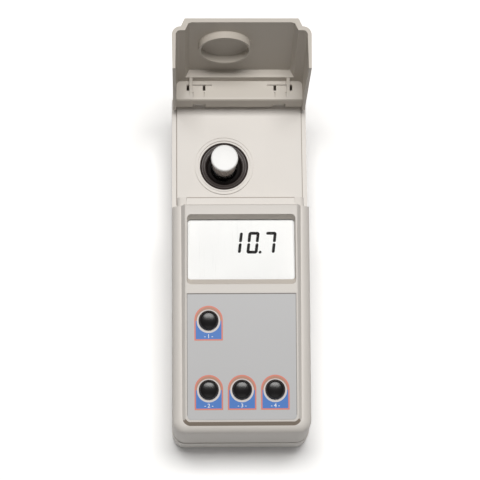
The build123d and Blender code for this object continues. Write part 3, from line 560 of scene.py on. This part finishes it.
class METER_OT_casing(BuildOperator, bpy.types.Operator):
    """Dress the upper and lower casing"""

    bl_idname = "meter.casing"
    bl_label = "Casing"

    # The recess round the display, measured from the window
    RECESS_MIDDLE = -0.7 * MM
    RECESS_DEPTH = 4 * MM
    RECESS_HALF = (33 * MM, 19.3 * MM)
    # Where the recess walls get their painted shade
    WALL_HALF = (34 * MM, 21 * MM)
    WALL_HEIGHTS = (0.2 * MM, 5.2 * MM)
    WIDENING = 0.022
    RAISING = 0.064

    # Parts of the recess's rim on the panel: from where to where, and how far each moves
    RIM_MOVES = ((-10.5 * MM, -6 * MM, 0.45 * MM), (-48 * MM, -44 * MM, -1.0 * MM))

    # The slope in front of the panel, which gets a painted shade: from where to where, and its foot
    FRONT_STEP = (-134.3 * MM, -129 * MM)
    FRONT_STEP_FOOT = -2.6 * MM

    # The shelf under the lid, and the painted shadow lines on the ledges beside the deck and on the
    # shelf's edge
    SHELF_REACH = 1.1 * MM
    SHELF_WIDTH = 65.6 * MM
    SHELF_Z = 71.91 * MM
    SHADOW_LINE_X = 39.25 * MM
    SHADOW_LINE_Z = 48.01 * MM
    SHADOW_LINE_ENDS = (7 * MM, 5 * MM)

    def step_back(self, bm, step):
        """Draws the casing's foot in along the parting line."""
        foot = min(corner.co.z for corner in bm.verts)
        middle = (FRONT_Y + REAR_Y) / 2
        half_length = REAR_Y - middle
        for corner in bm.verts:
            along = corner.co.y - middle
            outside = max(abs(corner.co.x) / HALF_WIDTH, abs(along) / half_length) > 0.965
            if outside and corner.co.z < foot + 2 * NEAR:
                corner.co.x *= 1 - step / HALF_WIDTH
                corner.co.y = middle + along * (1 - step / half_length)

    def widen_recess(self, bm):
        """Makes the walls round the display a little steeper."""
        there = display_matrix()
        back = there.inverted()
        half_width, half_length = self.RECESS_HALF
        for corner in bm.verts:
            spot = back @ corner.co
            up = spot.y - self.RECESS_MIDDLE
            within = abs(spot.x) < half_width and abs(up) < half_length
            if within and -NEAR < spot.z < self.RECESS_DEPTH:
                share = 1 - spot.z / self.RECESS_DEPTH
                spot.x *= 1 + self.WIDENING * share
                if up > 0:
                    spot.y += up * self.RAISING * share
                corner.co = there @ spot

    def move_rim(self, bm):
        """Moves the recess's upper and lower rim along the panel."""
        panel = panel_matrix()
        back = panel.inverted()
        for corner in bm.verts:
            spot = back @ corner.co
            if abs(spot.x) < self.RECESS_HALF[0] and abs(spot.z) < 0.01 * MM:
                for low, high, move in self.RIM_MOVES:
                    if low < spot.y < high:
                        corner.co = panel @ (spot + Vector((0, move, 0)))

    def lean_shelf(self, bm):
        """Moves the rear edge of the shelf's top back."""
        for corner in bm.verts:
            if abs(corner.co.y - SHELF_Y) < 2 * NEAR and corner.co.z > self.SHELF_Z - 4 * MM:
                corner.co.y += self.SHELF_REACH

    def on_wall(self, spot, facing):
        """Whether a face lies on the walls round the display, which get a painted shade."""
        half_width, half_length = self.WALL_HALF
        within = abs(spot.x) < half_width and abs(spot.y - self.RECESS_MIDDLE) < half_length
        return within and self.WALL_HEIGHTS[0] < spot.z < self.WALL_HEIGHTS[1] and facing.z < 0.9

    def on_front_step(self, spot, facing):
        """Whether a face lies on the slope from the panel's front edge down to the shoulder, which
        gets a painted shade.
        """
        low, high = self.FRONT_STEP
        return facing.y < -0.3 and low < spot.y < high and self.FRONT_STEP_FOOT < spot.z < 0

    def mark(self, bm, matrix, chosen, index):
        """Gives the faces that are chosen by their middle and direction another material, here a
        painted shade.
        """
        back = matrix.inverted()
        for face in bm.faces:
            if chosen(back @ face.calc_center_median(), back.to_3x3() @ face.normal):
                face.material_index = index

    def build(self, sizes, colours):
        """Soft edged copies of both casing halves, with painted shade on the upper one's recess
        walls and front step, and its painted shadow lines.
        """
        bm = merged_copy("upper_casing")
        self.step_back(bm, sizes.parting_step)
        self.widen_recess(bm)
        self.move_rim(bm)
        # Painted shade: darker tones on the display recess's walls and on the front step
        self.mark(bm, display_matrix(), self.on_wall, 1)
        self.mark(bm, panel_matrix(), self.on_front_step, 2)
        self.lean_shelf(bm)
        finishes = [
            plastic("casing plastic", colours.casing, 0.46),
            plastic("recess painted shade", colours.recess, 0.5),
            plastic("front step painted shade", colours.step, 0.6, reflectance=0.2),
        ]
        body = body_of_node("upper_casing")
        piece = new_piece(bm, "upper_shell", body, finishes, 35, ["upper_casing"])
        soften(piece, sizes.edge_round)
        lower = plastic("lower casing plastic", colours.base, 0.5)
        dressed_copy("lower_casing", "lower_shell", lower, sizes.edge_round)

        # Painted shadow: thin dark strips on the ledges beside the deck and on the shelf's rear
        # edge, where shade falls
        shadow = plastic("seam shadow", colours.seam, 0.7, reflectance=0.2)
        bm = bmesh.new()
        front, rear = PANEL_EDGE_Y + self.SHADOW_LINE_ENDS[0], REAR_Y - self.SHADOW_LINE_ENDS[1]
        for side in (-1, 1):
            middle = (side * self.SHADOW_LINE_X, (front + rear) / 2, self.SHADOW_LINE_Z)
            strip(bm, Matrix.Translation(middle), 0.55 * MM, rear - front)
        edge = (0, SHELF_Y + self.SHELF_REACH - 0.4 * MM, self.SHELF_Z)
        strip(bm, Matrix.Translation(edge), self.SHELF_WIDTH, 0.5 * MM)
        new_piece(bm, "casing_shadow_lines", "meter", [shadow])


class METER_OT_lid(BuildOperator, bpy.types.Operator):
    """Dress the lid and its hinge pins"""

    bl_idname = "meter.lid"
    bl_label = "Lid"

    def build(self, sizes, colours):
        """Soft edged copy of the lid and steel pins."""
        finish = plastic("lid plastic", colours.lid, 0.42)
        dressed_copy("lid", "lid_shell", finish, sizes.edge_round)
        steel = metal("pin steel", (0.62, 0.61, 0.6))
        dressed_copy("hinge_pins", "hinge_pin_pair", steel, 0.15 * MM)


class METER_OT_display(BuildOperator, bpy.types.Operator):
    """Build the display's ground and digits behind its window"""

    bl_idname = "meter.display"
    bl_label = "Display"

    SEGMENTS = {"1": "bc", "0": "abcdef", "7": "abc"}
    DIGITS = (("1", -2.9 * MM), ("0", 7.3 * MM), ("7", 17.7 * MM))
    DIGITS_UP = 4.1 * MM
    SLANT = radians(6.6)
    POINT_X = 12.2 * MM
    POINT_SIZE = 1.75 * MM
    GROUND_SIZE = (65.4 * MM, 37.0 * MM)
    GROUND_CORNER = 1.2 * MM
    GROUND_DEPTH = 1.59 * MM
    DIGIT_DEPTH = 1.55 * MM

    def bar(self, bm, middle, size, turn):
        """Adds one display segment with pointed corners."""
        single = bmesh.new()
        plate(single, size, size[1] * 0.42, 2)
        place(single, Matrix.Translation((*middle, 0)) @ Matrix.Rotation(turn, 4, "Z"))
        whole = new_mesh(single, "bar")
        bm.from_mesh(whole)
        bpy.data.meshes.remove(whole)

    def digit(self, bm, figure, x, sizes):
        """Adds the lit segments of a digit."""
        stroke = sizes.digit_stroke
        half = (sizes.digit_width - stroke) / 2
        rise = (sizes.digit_height - stroke) / 2
        across = half * 2 + stroke * 0.5
        reach = rise + stroke * 0.08
        middle = (rise + stroke * 0.42) / 2
        bars = {
            "a": ((x, rise), across, 0),
            "d": ((x, -rise), across, 0),
            "b": ((x + half, middle), reach, pi / 2),
            "c": ((x + half, -middle), reach, pi / 2),
            "e": ((x - half, -middle), reach, pi / 2),
            "f": ((x - half, middle), reach, pi / 2),
        }
        for segment in self.SEGMENTS[figure]:
            spot, extent, turn = bars[segment]
            self.bar(bm, spot, (extent, stroke), turn)

    def build(self, sizes, colours):
        """White ground, slanted digits, clear window and grey module."""
        ground = plastic("display ground", colours.display, 0.35, 3000.0, relief=0.05, tone=0.004)
        black = plastic("digit black", colours.digit, 0.8, 3000.0, relief=0.05, reflectance=0.1)
        bm = bmesh.new()
        plate(bm, self.GROUND_SIZE, self.GROUND_CORNER, 5)
        thicken(bm, 0.08 * MM)
        place(bm, display_matrix() @ Matrix.Translation((0, -0.1 * MM, -self.GROUND_DEPTH)))
        new_piece(bm, "display_ground", "meter", [ground])

        bm = bmesh.new()
        for figure, x in self.DIGITS:
            self.digit(bm, figure, x, sizes)
        low = -(sizes.digit_height - sizes.digit_stroke) / 2
        self.bar(bm, (self.POINT_X, low), (self.POINT_SIZE, self.POINT_SIZE), 0)
        thicken(bm, 0.02 * MM)
        slant = Matrix.Identity(4)
        slant[0][1] = tan(self.SLANT)
        spot = Matrix.Translation((0, self.DIGITS_UP, -self.DIGIT_DEPTH))
        place(bm, display_matrix() @ spot @ slant)
        new_piece(bm, "display_digits", "meter", [black])

        paint_node("display_window", window_pane("window pane"))
        body = plastic("display module grey", linear(150, 150, 148), 0.5)
        paint_node("lcd_module", body)


class METER_OT_keypad(BuildOperator, bpy.types.Operator):
    """Build the key label's badges, the keys and their numbers"""

    bl_idname = "meter.keypad"
    bl_label = "Keypad"

    # Steps round a badge and a key
    STEPS = 96

    # From a badge's foot up to its number's line
    NUMBER_RISE = 1.55 * MM

    # A key's stem and flange, and its dome with a rounded edge as arcs, in millimetres
    STEM = ((0, -7.4), (2, -7.4), (2, -3.95))
    FLANGE = ((7.3, -3.95), (7.3, -2.75), (5.68, -2.75))
    DOME_EDGE = ((4.05, 1.33), 1.63, 0, 76, 10)
    DOME = ((0, -17.6), 21, 78.6, 90, 12)

    # The painted shade lines round the label: its sides' place and length, and its upper line's
    BORDER_X = 32.9 * MM
    BORDER_Y = -91 * MM
    BORDER_LENGTH = 73.2 * MM
    BORDER_TOP = -54.5 * MM
    BORDER_WIDTH = 66 * MM

    def edges_of(self, corners):
        """The edges that end at some corners."""
        return list({edge for corner in corners for edge in corner.link_edges})

    def arch_loop(self, bm, inset, sizes):
        """A loop of edges with the badge's outline, drawn in by inset."""
        made = bmesh.ops.create_circle(bm, segments=self.STEPS, radius=1.0)["verts"]
        half = sizes.badge_half_width - inset
        top = sizes.badge_rise - sizes.badge_half_width
        foot = sizes.badge_drop - inset
        for corner in made:
            side, up = corner.co.x, corner.co.y
            if up < 0:
                reach = 1 / max(abs(side), abs(up))
                corner.co = (side * reach * half, up * reach * foot, 0)
            else:
                corner.co = (side * half, up * half + top * min(1, up * 4), 0)
        return self.edges_of(made)

    def round_loop(self, bm, radius, drop=0.0):
        """A loop of edges round a circle."""
        made = bmesh.ops.create_circle(bm, segments=self.STEPS, radius=radius)["verts"]
        bmesh.ops.translate(bm, vec=(0, -drop, 0), verts=made)
        return self.edges_of(made)

    def badge(self, name, matrix, finishes, sizes):
        """Adds a printed arch with a ring round the key."""
        bm = bmesh.new()
        loops = [
            self.round_loop(bm, sizes.hole_radius),
            self.round_loop(bm, sizes.ring_radius, sizes.ring_drop),
            self.arch_loop(bm, sizes.badge_line, sizes),
            self.arch_loop(bm, 0.0, sizes),
        ]
        for index, (inner, outer) in enumerate(zip(loops, loops[1:])):
            made = bmesh.ops.bridge_loops(bm, edges=inner + outer)["faces"]
            for face in made:
                low = face.calc_center_median().y < 0
                face.material_index = (0, 2 if low else 1, 3)[index]
        thicken(bm, sizes.ink_depth)
        place(bm, matrix @ Matrix.Translation((0, 0, LABEL_Z + sizes.ink_depth)))
        new_piece(bm, f"{name}_badge", "meter", finishes)

    def number(self, name, figure, matrix, finish, sizes):
        """Adds the plain number at a badge's foot, between two dashes."""
        text = bpy.data.curves.new("number", "FONT")
        text.body = f"- {figure} -"
        text.align_x = "CENTER"
        text.size = sizes.mark_height * 1.4
        text.extrude = sizes.ink_depth / 2
        text.offset = 0.05 * MM
        holder = new_object("number", text)
        bpy.context.view_layer.update()
        evaluated = holder.evaluated_get(bpy.context.evaluated_depsgraph_get())
        mesh = bpy.data.meshes.new_from_object(evaluated)
        bm = bmesh.new()
        bm.from_mesh(mesh)
        bpy.data.objects.remove(holder)
        bpy.data.curves.remove(text)
        bpy.data.meshes.remove(mesh)
        bmesh.ops.remove_doubles(bm, verts=bm.verts, dist=1e-7)
        line = -sizes.badge_drop + self.NUMBER_RISE
        place(bm, matrix @ Matrix.Translation((0, line, LABEL_Z + sizes.ink_depth * 1.3)))
        new_piece(bm, f"{name}_number", "meter", [finish])

    def key(self, name, matrix, finish):
        """Adds a domed key with its flange and stem."""
        crown = [*arc(*self.DOME_EDGE), *arc(*self.DOME)[:-1], (0, 3.4)]
        bm = place(lathe([*self.STEM, *self.FLANGE, *crown], self.STEPS), matrix)
        node = f"{name}_button"
        new_piece(bm, f"{name}_key", body_of_node(node), [finish], 40, [node])

    def build(self, sizes, colours):
        """Label with painted shade lines round it, badges, numbers and keys."""
        film = plastic("label film", colours.label, 0.42, 2600.0, relief=0.12, tone=0.012)
        dressed_copy("keypad_label", "key_label", film)
        # Painted shade: thin dark strips on the label's sides and top, where shade falls in its gap
        edge_shade = plastic("label edge painted shade", colours.edge_shade, 0.5)
        bm = bmesh.new()
        panel = panel_matrix()
        for side in (-1, 1):
            middle = (side * self.BORDER_X, self.BORDER_Y, LABEL_Z)
            strip(bm, panel @ Matrix.Translation(middle), 0.28 * MM, self.BORDER_LENGTH)
        top = (0, self.BORDER_TOP, LABEL_Z)
        strip(bm, panel @ Matrix.Translation(top), self.BORDER_WIDTH, 0.45 * MM)
        new_piece(bm, "label_edge_shade", "meter", [edge_shade])
        finishes = [
            ink("ring ink", colours.ring, 0.01),
            ink("arch ink", colours.badge_arch, 0.03),
            ink("fill ink", colours.badge_fill, 0.02),
            ink("line ink", colours.badge_line, 0.03),
        ]
        white = ink("number ink", colours.mark, 0.01)
        gloss = plastic(
            "key gloss", colours.key, 0.22, 900.0, relief=0.03, tone=0.05, gloss_spread=0.04,
            patch=120.0, reflectance=0.3,
        )
        for figure, (name, (x, y)) in enumerate(KEYS.items(), 1):
            matrix = panel @ Matrix.Translation((x, y, 0))
            self.badge(name, matrix, finishes, sizes)
            self.number(name, figure, matrix, white, sizes)
            self.key(name, matrix, gloss)


class METER_OT_well(BuildOperator, bpy.types.Operator):
    """Dress the measuring well and its adapter ring"""

    bl_idname = "meter.well"
    bl_label = "Measuring well"

    # Rings of corners as radius and height in millimetres, and where they move
    WELL_RINGS = {
        (14.0, 50.0): (13.8, 49.3), (14.0, 49.4): (13.6, 48.9), (12.5, 49.4): (12.4, 48.2),
        (12.5, 48.6): (12.25, 47.8), (11.6, 48.6): (11.6, 47.3),
    }
    INSERT_RINGS = {(10.3, 47.8): (10.3, 47.0)}

    # Profile of the mouth's lining, as radius and height in millimetres
    LEDGES = (
        (14.0, 48.6), (14.0, 49.95), (13.94, 49.5), (13.6, 49.47), (13.5, 48.98), (12.55, 48.76),
        (12.5, 48.74), (12.15, 48.72), (12.05, 48.2), (11.6, 48.08), (11.6, 47.6), (14.0, 48.6),
    )

    def build(self, sizes, colours):
        """Black mouldings whose steps slope down to the bore, and a lining with fine ledges."""
        black = plastic("well black", colours.well, 0.36, 1800.0, relief=0.1, tone=0.05)
        insert = plastic(
            "adapter black", linear(30, 24, 23), 0.6, 1800.0, relief=0.1, tone=0.05, reflectance=0.12
        )
        bm = self.slope_steps(merged_copy("cell_well", False), self.WELL_RINGS)
        body = body_of_node("cell_well")
        piece = new_piece(bm, "well_body", body, [black], 35, ["cell_well"])
        soften(piece, 0.25 * MM, 3)
        bm = lathe(self.LEDGES)
        place(bm, Matrix.Translation((WELL_X, WELL_Y, 0)))
        piece = new_piece(bm, "well_mouth", body, [black], 20)
        soften(piece, 0.05 * MM, 2, 30)
        bm = self.slope_steps(merged_copy("vial_adapter", False), self.INSERT_RINGS)
        body = body_of_node("vial_adapter")
        piece = new_piece(bm, "well_insert", body, [insert], 35, ["vial_adapter"])
        soften(piece, 0.2 * MM)

    def slope_steps(self, bm, rings):
        """Moves rings of corners round the well."""
        for corner in bm.verts:
            side, back = corner.co.x - WELL_X, corner.co.y - WELL_Y
            radius = hypot(side, back)
            for (old_radius, old_height), (new_radius, new_height) in rings.items():
                near = abs(radius - old_radius * MM) < NEAR
                if near and abs(corner.co.z - old_height * MM) < NEAR:
                    corner.co.x = WELL_X + side * new_radius * MM / radius
                    corner.co.y = WELL_Y + back * new_radius * MM / radius
                    corner.co.z = new_height * MM
                    break
        return bm


class METER_OT_vial(BuildOperator, bpy.types.Operator):
    """Build the sample vial, its sample and its cap"""

    bl_idname = "meter.vial"
    bl_label = "Sample vial"

    # The glass's shoulder outside and inside, as radius and height in millimetres
    SHOULDER = ((8, 48.2), (7.6, 49.8), (6.4, 50.7), (5.6, 51.2))
    HOLLOW = ((4.6, 50.8), (6.0, 49.9), (6.8, 48.9), (7, 47.8))

    # How deep the ribs' grooves are, and how far below the cap's top they end
    GROOVE = 0.32 * MM
    DISC = 2.9 * MM

    def build(self, sizes, colours):
        """Lathed glass, liquid and ribbed cap."""
        centre = Matrix.Translation((WELL_X, WELL_Y, 0))
        foot, top = (corner.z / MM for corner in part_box("sample_vial"))
        glass = [
            (0, foot + 0.5), (4, foot + 0.2), *arc((7.2, foot + 0.8), 0.8, -90, 0, 5),
            *self.SHOULDER, (5.6, top - 0.2), (5.3, top), (4.8, top), (4.6, top - 0.2), *self.HOLLOW,
            *arc((6, foot + 3), 1, 0, -90, 5), (0, foot + 2),
        ]
        bm = place(lathe(glass, 72), centre)
        finish = clear("vial glass", (0.96, 0.98, 0.97), 0.01, 1.5)
        new_piece(bm, "vial_glass", "vial", [finish], 30, ["sample_vial"])

        low, high = (corner.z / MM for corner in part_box("sample_liquid"))
        sample = [
            (0, low), (5.9, low), *arc((5.95, low + 1), 1, -85, 0, 4),
            (6.95, high), (6.5, high - 0.35), (5, high - 0.6), (0, high - 0.65),
        ]
        bm = place(lathe(sample, 72), centre)
        finish = clear("sample liquid", (0.97, 0.93, 0.84), 0.0, 1.34)
        new_piece(bm, "sample", "vial", [finish], 30, ["sample_liquid"])

        cap_low, cap_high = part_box("vial_cap")
        low, top = cap_low.z / MM, cap_high.z / MM
        inside = [(0, top - 2), (5.75, top - 2), (5.75, low)]
        side = [(7.2, low), (8.25, top - 3.4), (8.25, top - 3)]
        disc = [(8.3, top - 2.6), *arc((7.5, top - 0.8), 0.8, 0, 90, 6), (0, top)]
        bm = lathe(inside + side + disc, sizes.cap_ribs * 6)
        disc_foot = cap_high.z - self.DISC
        for corner in bm.verts:
            radius = hypot(corner.co.x, corner.co.y)
            if radius > 6.5 * MM and corner.co.z < disc_foot:
                turn = atan2(corner.co.y, corner.co.x)
                dip = self.GROOVE / 2 * (1 - cos(turn * sizes.cap_ribs))
                corner.co.x *= 1 - dip / radius
                corner.co.y *= 1 - dip / radius
        for face in bm.faces:
            face.material_index = 0 if face.calc_center_median().z > disc_foot else 1
        place(bm, centre)
        white = plastic("cap white", colours.cap, 0.4, 2600.0, relief=0.08, tone=0.006)
        skirt = plastic("cap skirt", colours.skirt, 0.35, 2600.0, relief=0.1, tone=0.03)
        shader = skirt.node_tree.nodes["Principled BSDF"]
        set_inputs(shader, {"Subsurface Weight": 0.3, "Subsurface Radius": (2 * MM, 2 * MM, 2 * MM)})
        new_piece(bm, "cap", "cap", [white, skirt], 40, ["vial_cap"])


class METER_OT_optics(BuildOperator, bpy.types.Operator):
    """Dress the lamp, filter and light detector"""

    bl_idname = "meter.optics"
    bl_label = "Optics"

    def build(self, sizes, colours):
        """Finishes of the light path's parts."""
        paint_node("lamp_led", clear("lamp epoxy", (0.95, 0.93, 0.85), 0.08, 1.55))
        paint_node("light_filter", clear("filter glass", (0.55, 0.62, 0.9), 0.02, 1.52))
        paint_node("light_detector", metal("detector can", (0.72, 0.68, 0.55), 0.35))
        paint_node("optics_board", circuit_board("optics board green", (0.02, 0.12, 0.05)))


class METER_OT_electronics(BuildOperator, bpy.types.Operator):
    """Dress the main board, its switches and its screws"""

    bl_idname = "meter.electronics"
    bl_label = "Electronics"

    def build(self, sizes, colours):
        """Finishes of the electronic parts."""
        paint_node("main_board", circuit_board("board green", (0.02, 0.14, 0.06)))
        paint_node("tact_switches", plastic("switch black", linear(34, 34, 36), 0.4))
        paint_node("board_screws", metal("board screw steel", (0.6, 0.6, 0.6)))


class METER_OT_battery(BuildOperator, bpy.types.Operator):
    """Dress the battery, its terminals and its cover"""

    bl_idname = "meter.battery"
    bl_label = "Battery"

    def build(self, sizes, colours):
        """Finishes of the battery bay."""
        paint_node("battery_9v", metal("battery jacket", (0.16, 0.17, 0.2), 0.35, 600.0))
        paint_node("battery_terminals", plastic("terminal block", linear(30, 30, 32), 0.45))
        cover = plastic("lower casing plastic", colours.base, 0.5)
        dressed_copy("battery_cover", "battery_door", cover, 0.2 * MM)


class METER_OT_underside(BuildOperator, bpy.types.Operator):
    """Dress the rubber feet and casing screws"""

    bl_idname = "meter.underside"
    bl_label = "Feet and screws"

    def build(self, sizes, colours):
        """Rubber feet and steel screws."""
        rubber = plastic(
            "foot rubber", linear(46, 45, 46), 0.8, 1500.0, relief=0.5, tone=0.08, gloss_spread=0.08
        )
        dressed_copy("rubber_feet", "feet", rubber, 0.4 * MM)
        steel = metal("screw steel", (0.55, 0.55, 0.54))
        dressed_copy("case_screws", "casing_screws", steel, 0.12 * MM)


class METER_OT_stage(bpy.types.Operator):
    """Set up the floor, the lights, the world and the camera"""

    bl_idname = "meter.stage"
    bl_label = "Stage"
    bl_options = {"REGISTER", "UNDO"}

    # The floor's white, the extra light it shows, and the tone that throws light back at the meter
    FLOOR_WHITE = (1.0, 1.0, 1.0, 1.0)
    FLOOR_EXTRA = (0.3, 0.3, 0.3, 1.0)
    FLOOR_DULL = (0.5, 0.49, 0.48, 1.0)

    # Soft boxes: place, width, depth and tint
    TOP = ((0.035, 0.44, 2.4), 1.27, 0.7, (1.0, 0.99, 0.975))
    FILL = ((0.0, -1.8, 2.4), 1.6, 1.2, (1.0, 0.98, 0.97))
    AIM = Vector((0, 0, 0.04))

    # The camera's place and angles
    CAMERA_AT = Vector((-31.0 * MM, FRONT_Y - 132.86 * MM, 1189.4 * MM))
    CAMERA_TILT = radians(77.24)
    CAMERA_YAW = radians(6.891)
    CAMERA_ROLL = radians(6.544)

    def floor(self):
        """White floor that keeps the meter's shadow and throws little light back."""
        bm = bmesh.new()
        bmesh.ops.create_grid(bm, x_segments=1, y_segments=1, size=3.0)
        mesh = new_mesh(bm, "floor")
        ground = new_object("floor", mesh)
        made, tree, shader = new_material("floor white")
        tree.nodes.remove(shader)
        tones = []
        for tone in (self.FLOOR_WHITE, self.FLOOR_EXTRA, self.FLOOR_DULL):
            node = tree.nodes.new("ShaderNodeBsdfDiffuse")
            node.inputs["Color"].default_value = tone
            tones.append(node.outputs[0])
        white, extra, dull = tones
        bright = tree.nodes.new("ShaderNodeAddShader")
        tree.links.new(white, bright.inputs[0])
        tree.links.new(extra, bright.inputs[1])
        self.show(tree, bright.outputs[0], dull, tree.nodes["Material Output"])
        mesh.materials.append(made)

    def show(self, tree, seen, hidden, end):
        """Shows one shader to the camera, in reflections and through glass, and hides the other."""
        path = tree.nodes.new("ShaderNodeLightPath")
        either = calculate(
            tree, "MAXIMUM", path.outputs["Is Camera Ray"], path.outputs["Is Glossy Ray"]
        )
        shown = calculate(tree, "MAXIMUM", either, path.outputs["Is Transmission Ray"])
        mix = tree.nodes.new("ShaderNodeMixShader")
        tree.links.new(shown, mix.inputs[0])
        tree.links.new(hidden, mix.inputs[1])
        tree.links.new(seen, mix.inputs[2])
        tree.links.new(mix.outputs[0], end.inputs["Surface"])

    def sky(self, level):
        """Even light from all round, with a white backdrop for the camera."""
        world = bpy.data.worlds.new("studio")
        world.use_nodes = True
        bpy.context.scene.world = world
        tree = world.node_tree
        light = tree.nodes["Background"]
        set_inputs(light, {"Color": (1.0, 0.985, 0.965, 1.0), "Strength": level})
        backdrop = tree.nodes.new("ShaderNodeBackground")
        backdrop.inputs["Color"].default_value = (1.0, 1.0, 1.0, 1.0)
        where = tree.nodes.new("ShaderNodeTexCoord")
        parts = tree.nodes.new("ShaderNodeSeparateXYZ")
        fade = tree.nodes.new("ShaderNodeMapRange")
        set_inputs(fade, {"From Min": 0.15, "From Max": 0.5, "To Min": 1.0, "To Max": 0.12})
        tree.links.new(where.outputs["Generated"], parts.inputs[0])
        tree.links.new(parts.outputs["Z"], fade.inputs["Value"])
        path = tree.nodes.new("ShaderNodeLightPath")
        shown = calculate(tree, "MAXIMUM", fade.outputs["Result"], path.outputs["Is Camera Ray"])
        tree.links.new(shown, backdrop.inputs["Strength"])
        self.show(tree, backdrop.outputs[0], light.outputs[0], tree.nodes["World Output"])

    def lamp(self, name, power, spot, width, depth, tint):
        """Adds a soft box that looks at the meter."""
        light = bpy.data.lights.new(name, "AREA")
        light.shape = "RECTANGLE"
        light.size = width
        light.size_y = depth
        light.energy = power
        light.color = tint
        holder = new_object(name, light)
        holder.location = spot
        ahead = self.AIM - Vector(spot)
        holder.rotation_euler = ahead.to_track_quat("-Z", "Y").to_euler()
        holder.visible_camera = False

    def camera(self, lens):
        """Adds the camera at the photograph's viewing angle."""
        tilt, yaw, roll = self.CAMERA_TILT, self.CAMERA_YAW, self.CAMERA_ROLL
        ahead = Vector((sin(yaw) * cos(tilt), cos(yaw) * cos(tilt), -sin(tilt)))
        level = Vector((cos(yaw), -sin(yaw), 0))
        upright = level.cross(ahead)
        right = level * cos(roll) + upright * sin(roll)
        up = upright * cos(roll) - level * sin(roll)
        data = bpy.data.cameras.new("camera")
        data.sensor_width = 36.0
        data.lens = lens
        data.clip_start = 0.05
        data.clip_end = 20.0
        holder = new_object("camera", data)
        turn = Matrix((right, up, -ahead)).transposed().to_4x4()
        holder.matrix_world = Matrix.Translation(self.CAMERA_AT) @ turn
        bpy.context.scene.camera = holder

    def execute(self, context):
        """Builds the stage."""
        settings = context.scene.stage_settings
        self.floor()
        self.sky(settings.sky_level)
        self.lamp("top light", settings.top_power, *self.TOP)
        self.lamp("front fill", settings.fill_power, *self.FILL)
        self.camera(settings.focal_length)
        context.scene.view_settings.view_transform = "Standard"
        return {"FINISHED"}


OPERATORS = (
    METER_OT_stage,
    METER_OT_casing,
    METER_OT_lid,
    METER_OT_display,
    METER_OT_keypad,
    METER_OT_well,
    METER_OT_vial,
    METER_OT_optics,
    METER_OT_electronics,
    METER_OT_battery,
    METER_OT_underside,
)


class METER_PT_panel(bpy.types.Panel):
    """Lists the meter's pieces in the sidebar"""

    bl_idname = "METER_PT_panel"
    bl_label = "Peroxide Meter"
    bl_space_type = "VIEW_3D"
    bl_region_type = "UI"
    bl_category = "Meter"

    def draw(self, context):
        """Draws a button for each operator and the settings."""
        for operator in OPERATORS:
            self.layout.operator(operator.bl_idname)
        for group in ("meter_sizes", "meter_colours", "stage_settings"):
            settings = getattr(context.scene, group)
            for name in settings.bl_rna.properties.keys():
                if name not in ("rna_type", "name"):
                    self.layout.prop(settings, name)


CLASSES = (MeterSizes, MeterColours, StageSettings, *OPERATORS, METER_PT_panel)


def register():
    """Registers the classes and their settings."""
    for made in CLASSES:
        bpy.utils.register_class(made)
    bpy.types.Scene.meter_sizes = PointerProperty(type=MeterSizes)
    bpy.types.Scene.meter_colours = PointerProperty(type=MeterColours)
    bpy.types.Scene.stage_settings = PointerProperty(type=StageSettings)


def unregister():
    """Removes the settings and the classes."""
    del bpy.types.Scene.stage_settings
    del bpy.types.Scene.meter_colours
    del bpy.types.Scene.meter_sizes
    for made in reversed(CLASSES):
        bpy.utils.unregister_class(made)


def main():
    """Builds every piece."""
    register()
    bpy.ops.meter.stage()
    bpy.ops.meter.casing()
    bpy.ops.meter.lid()
    bpy.ops.meter.display()
    bpy.ops.meter.keypad()
    bpy.ops.meter.well()
    bpy.ops.meter.vial()
    bpy.ops.meter.optics()
    bpy.ops.meter.electronics()
    bpy.ops.meter.battery()
    bpy.ops.meter.underside()


if __name__ == "__main__":
    main()
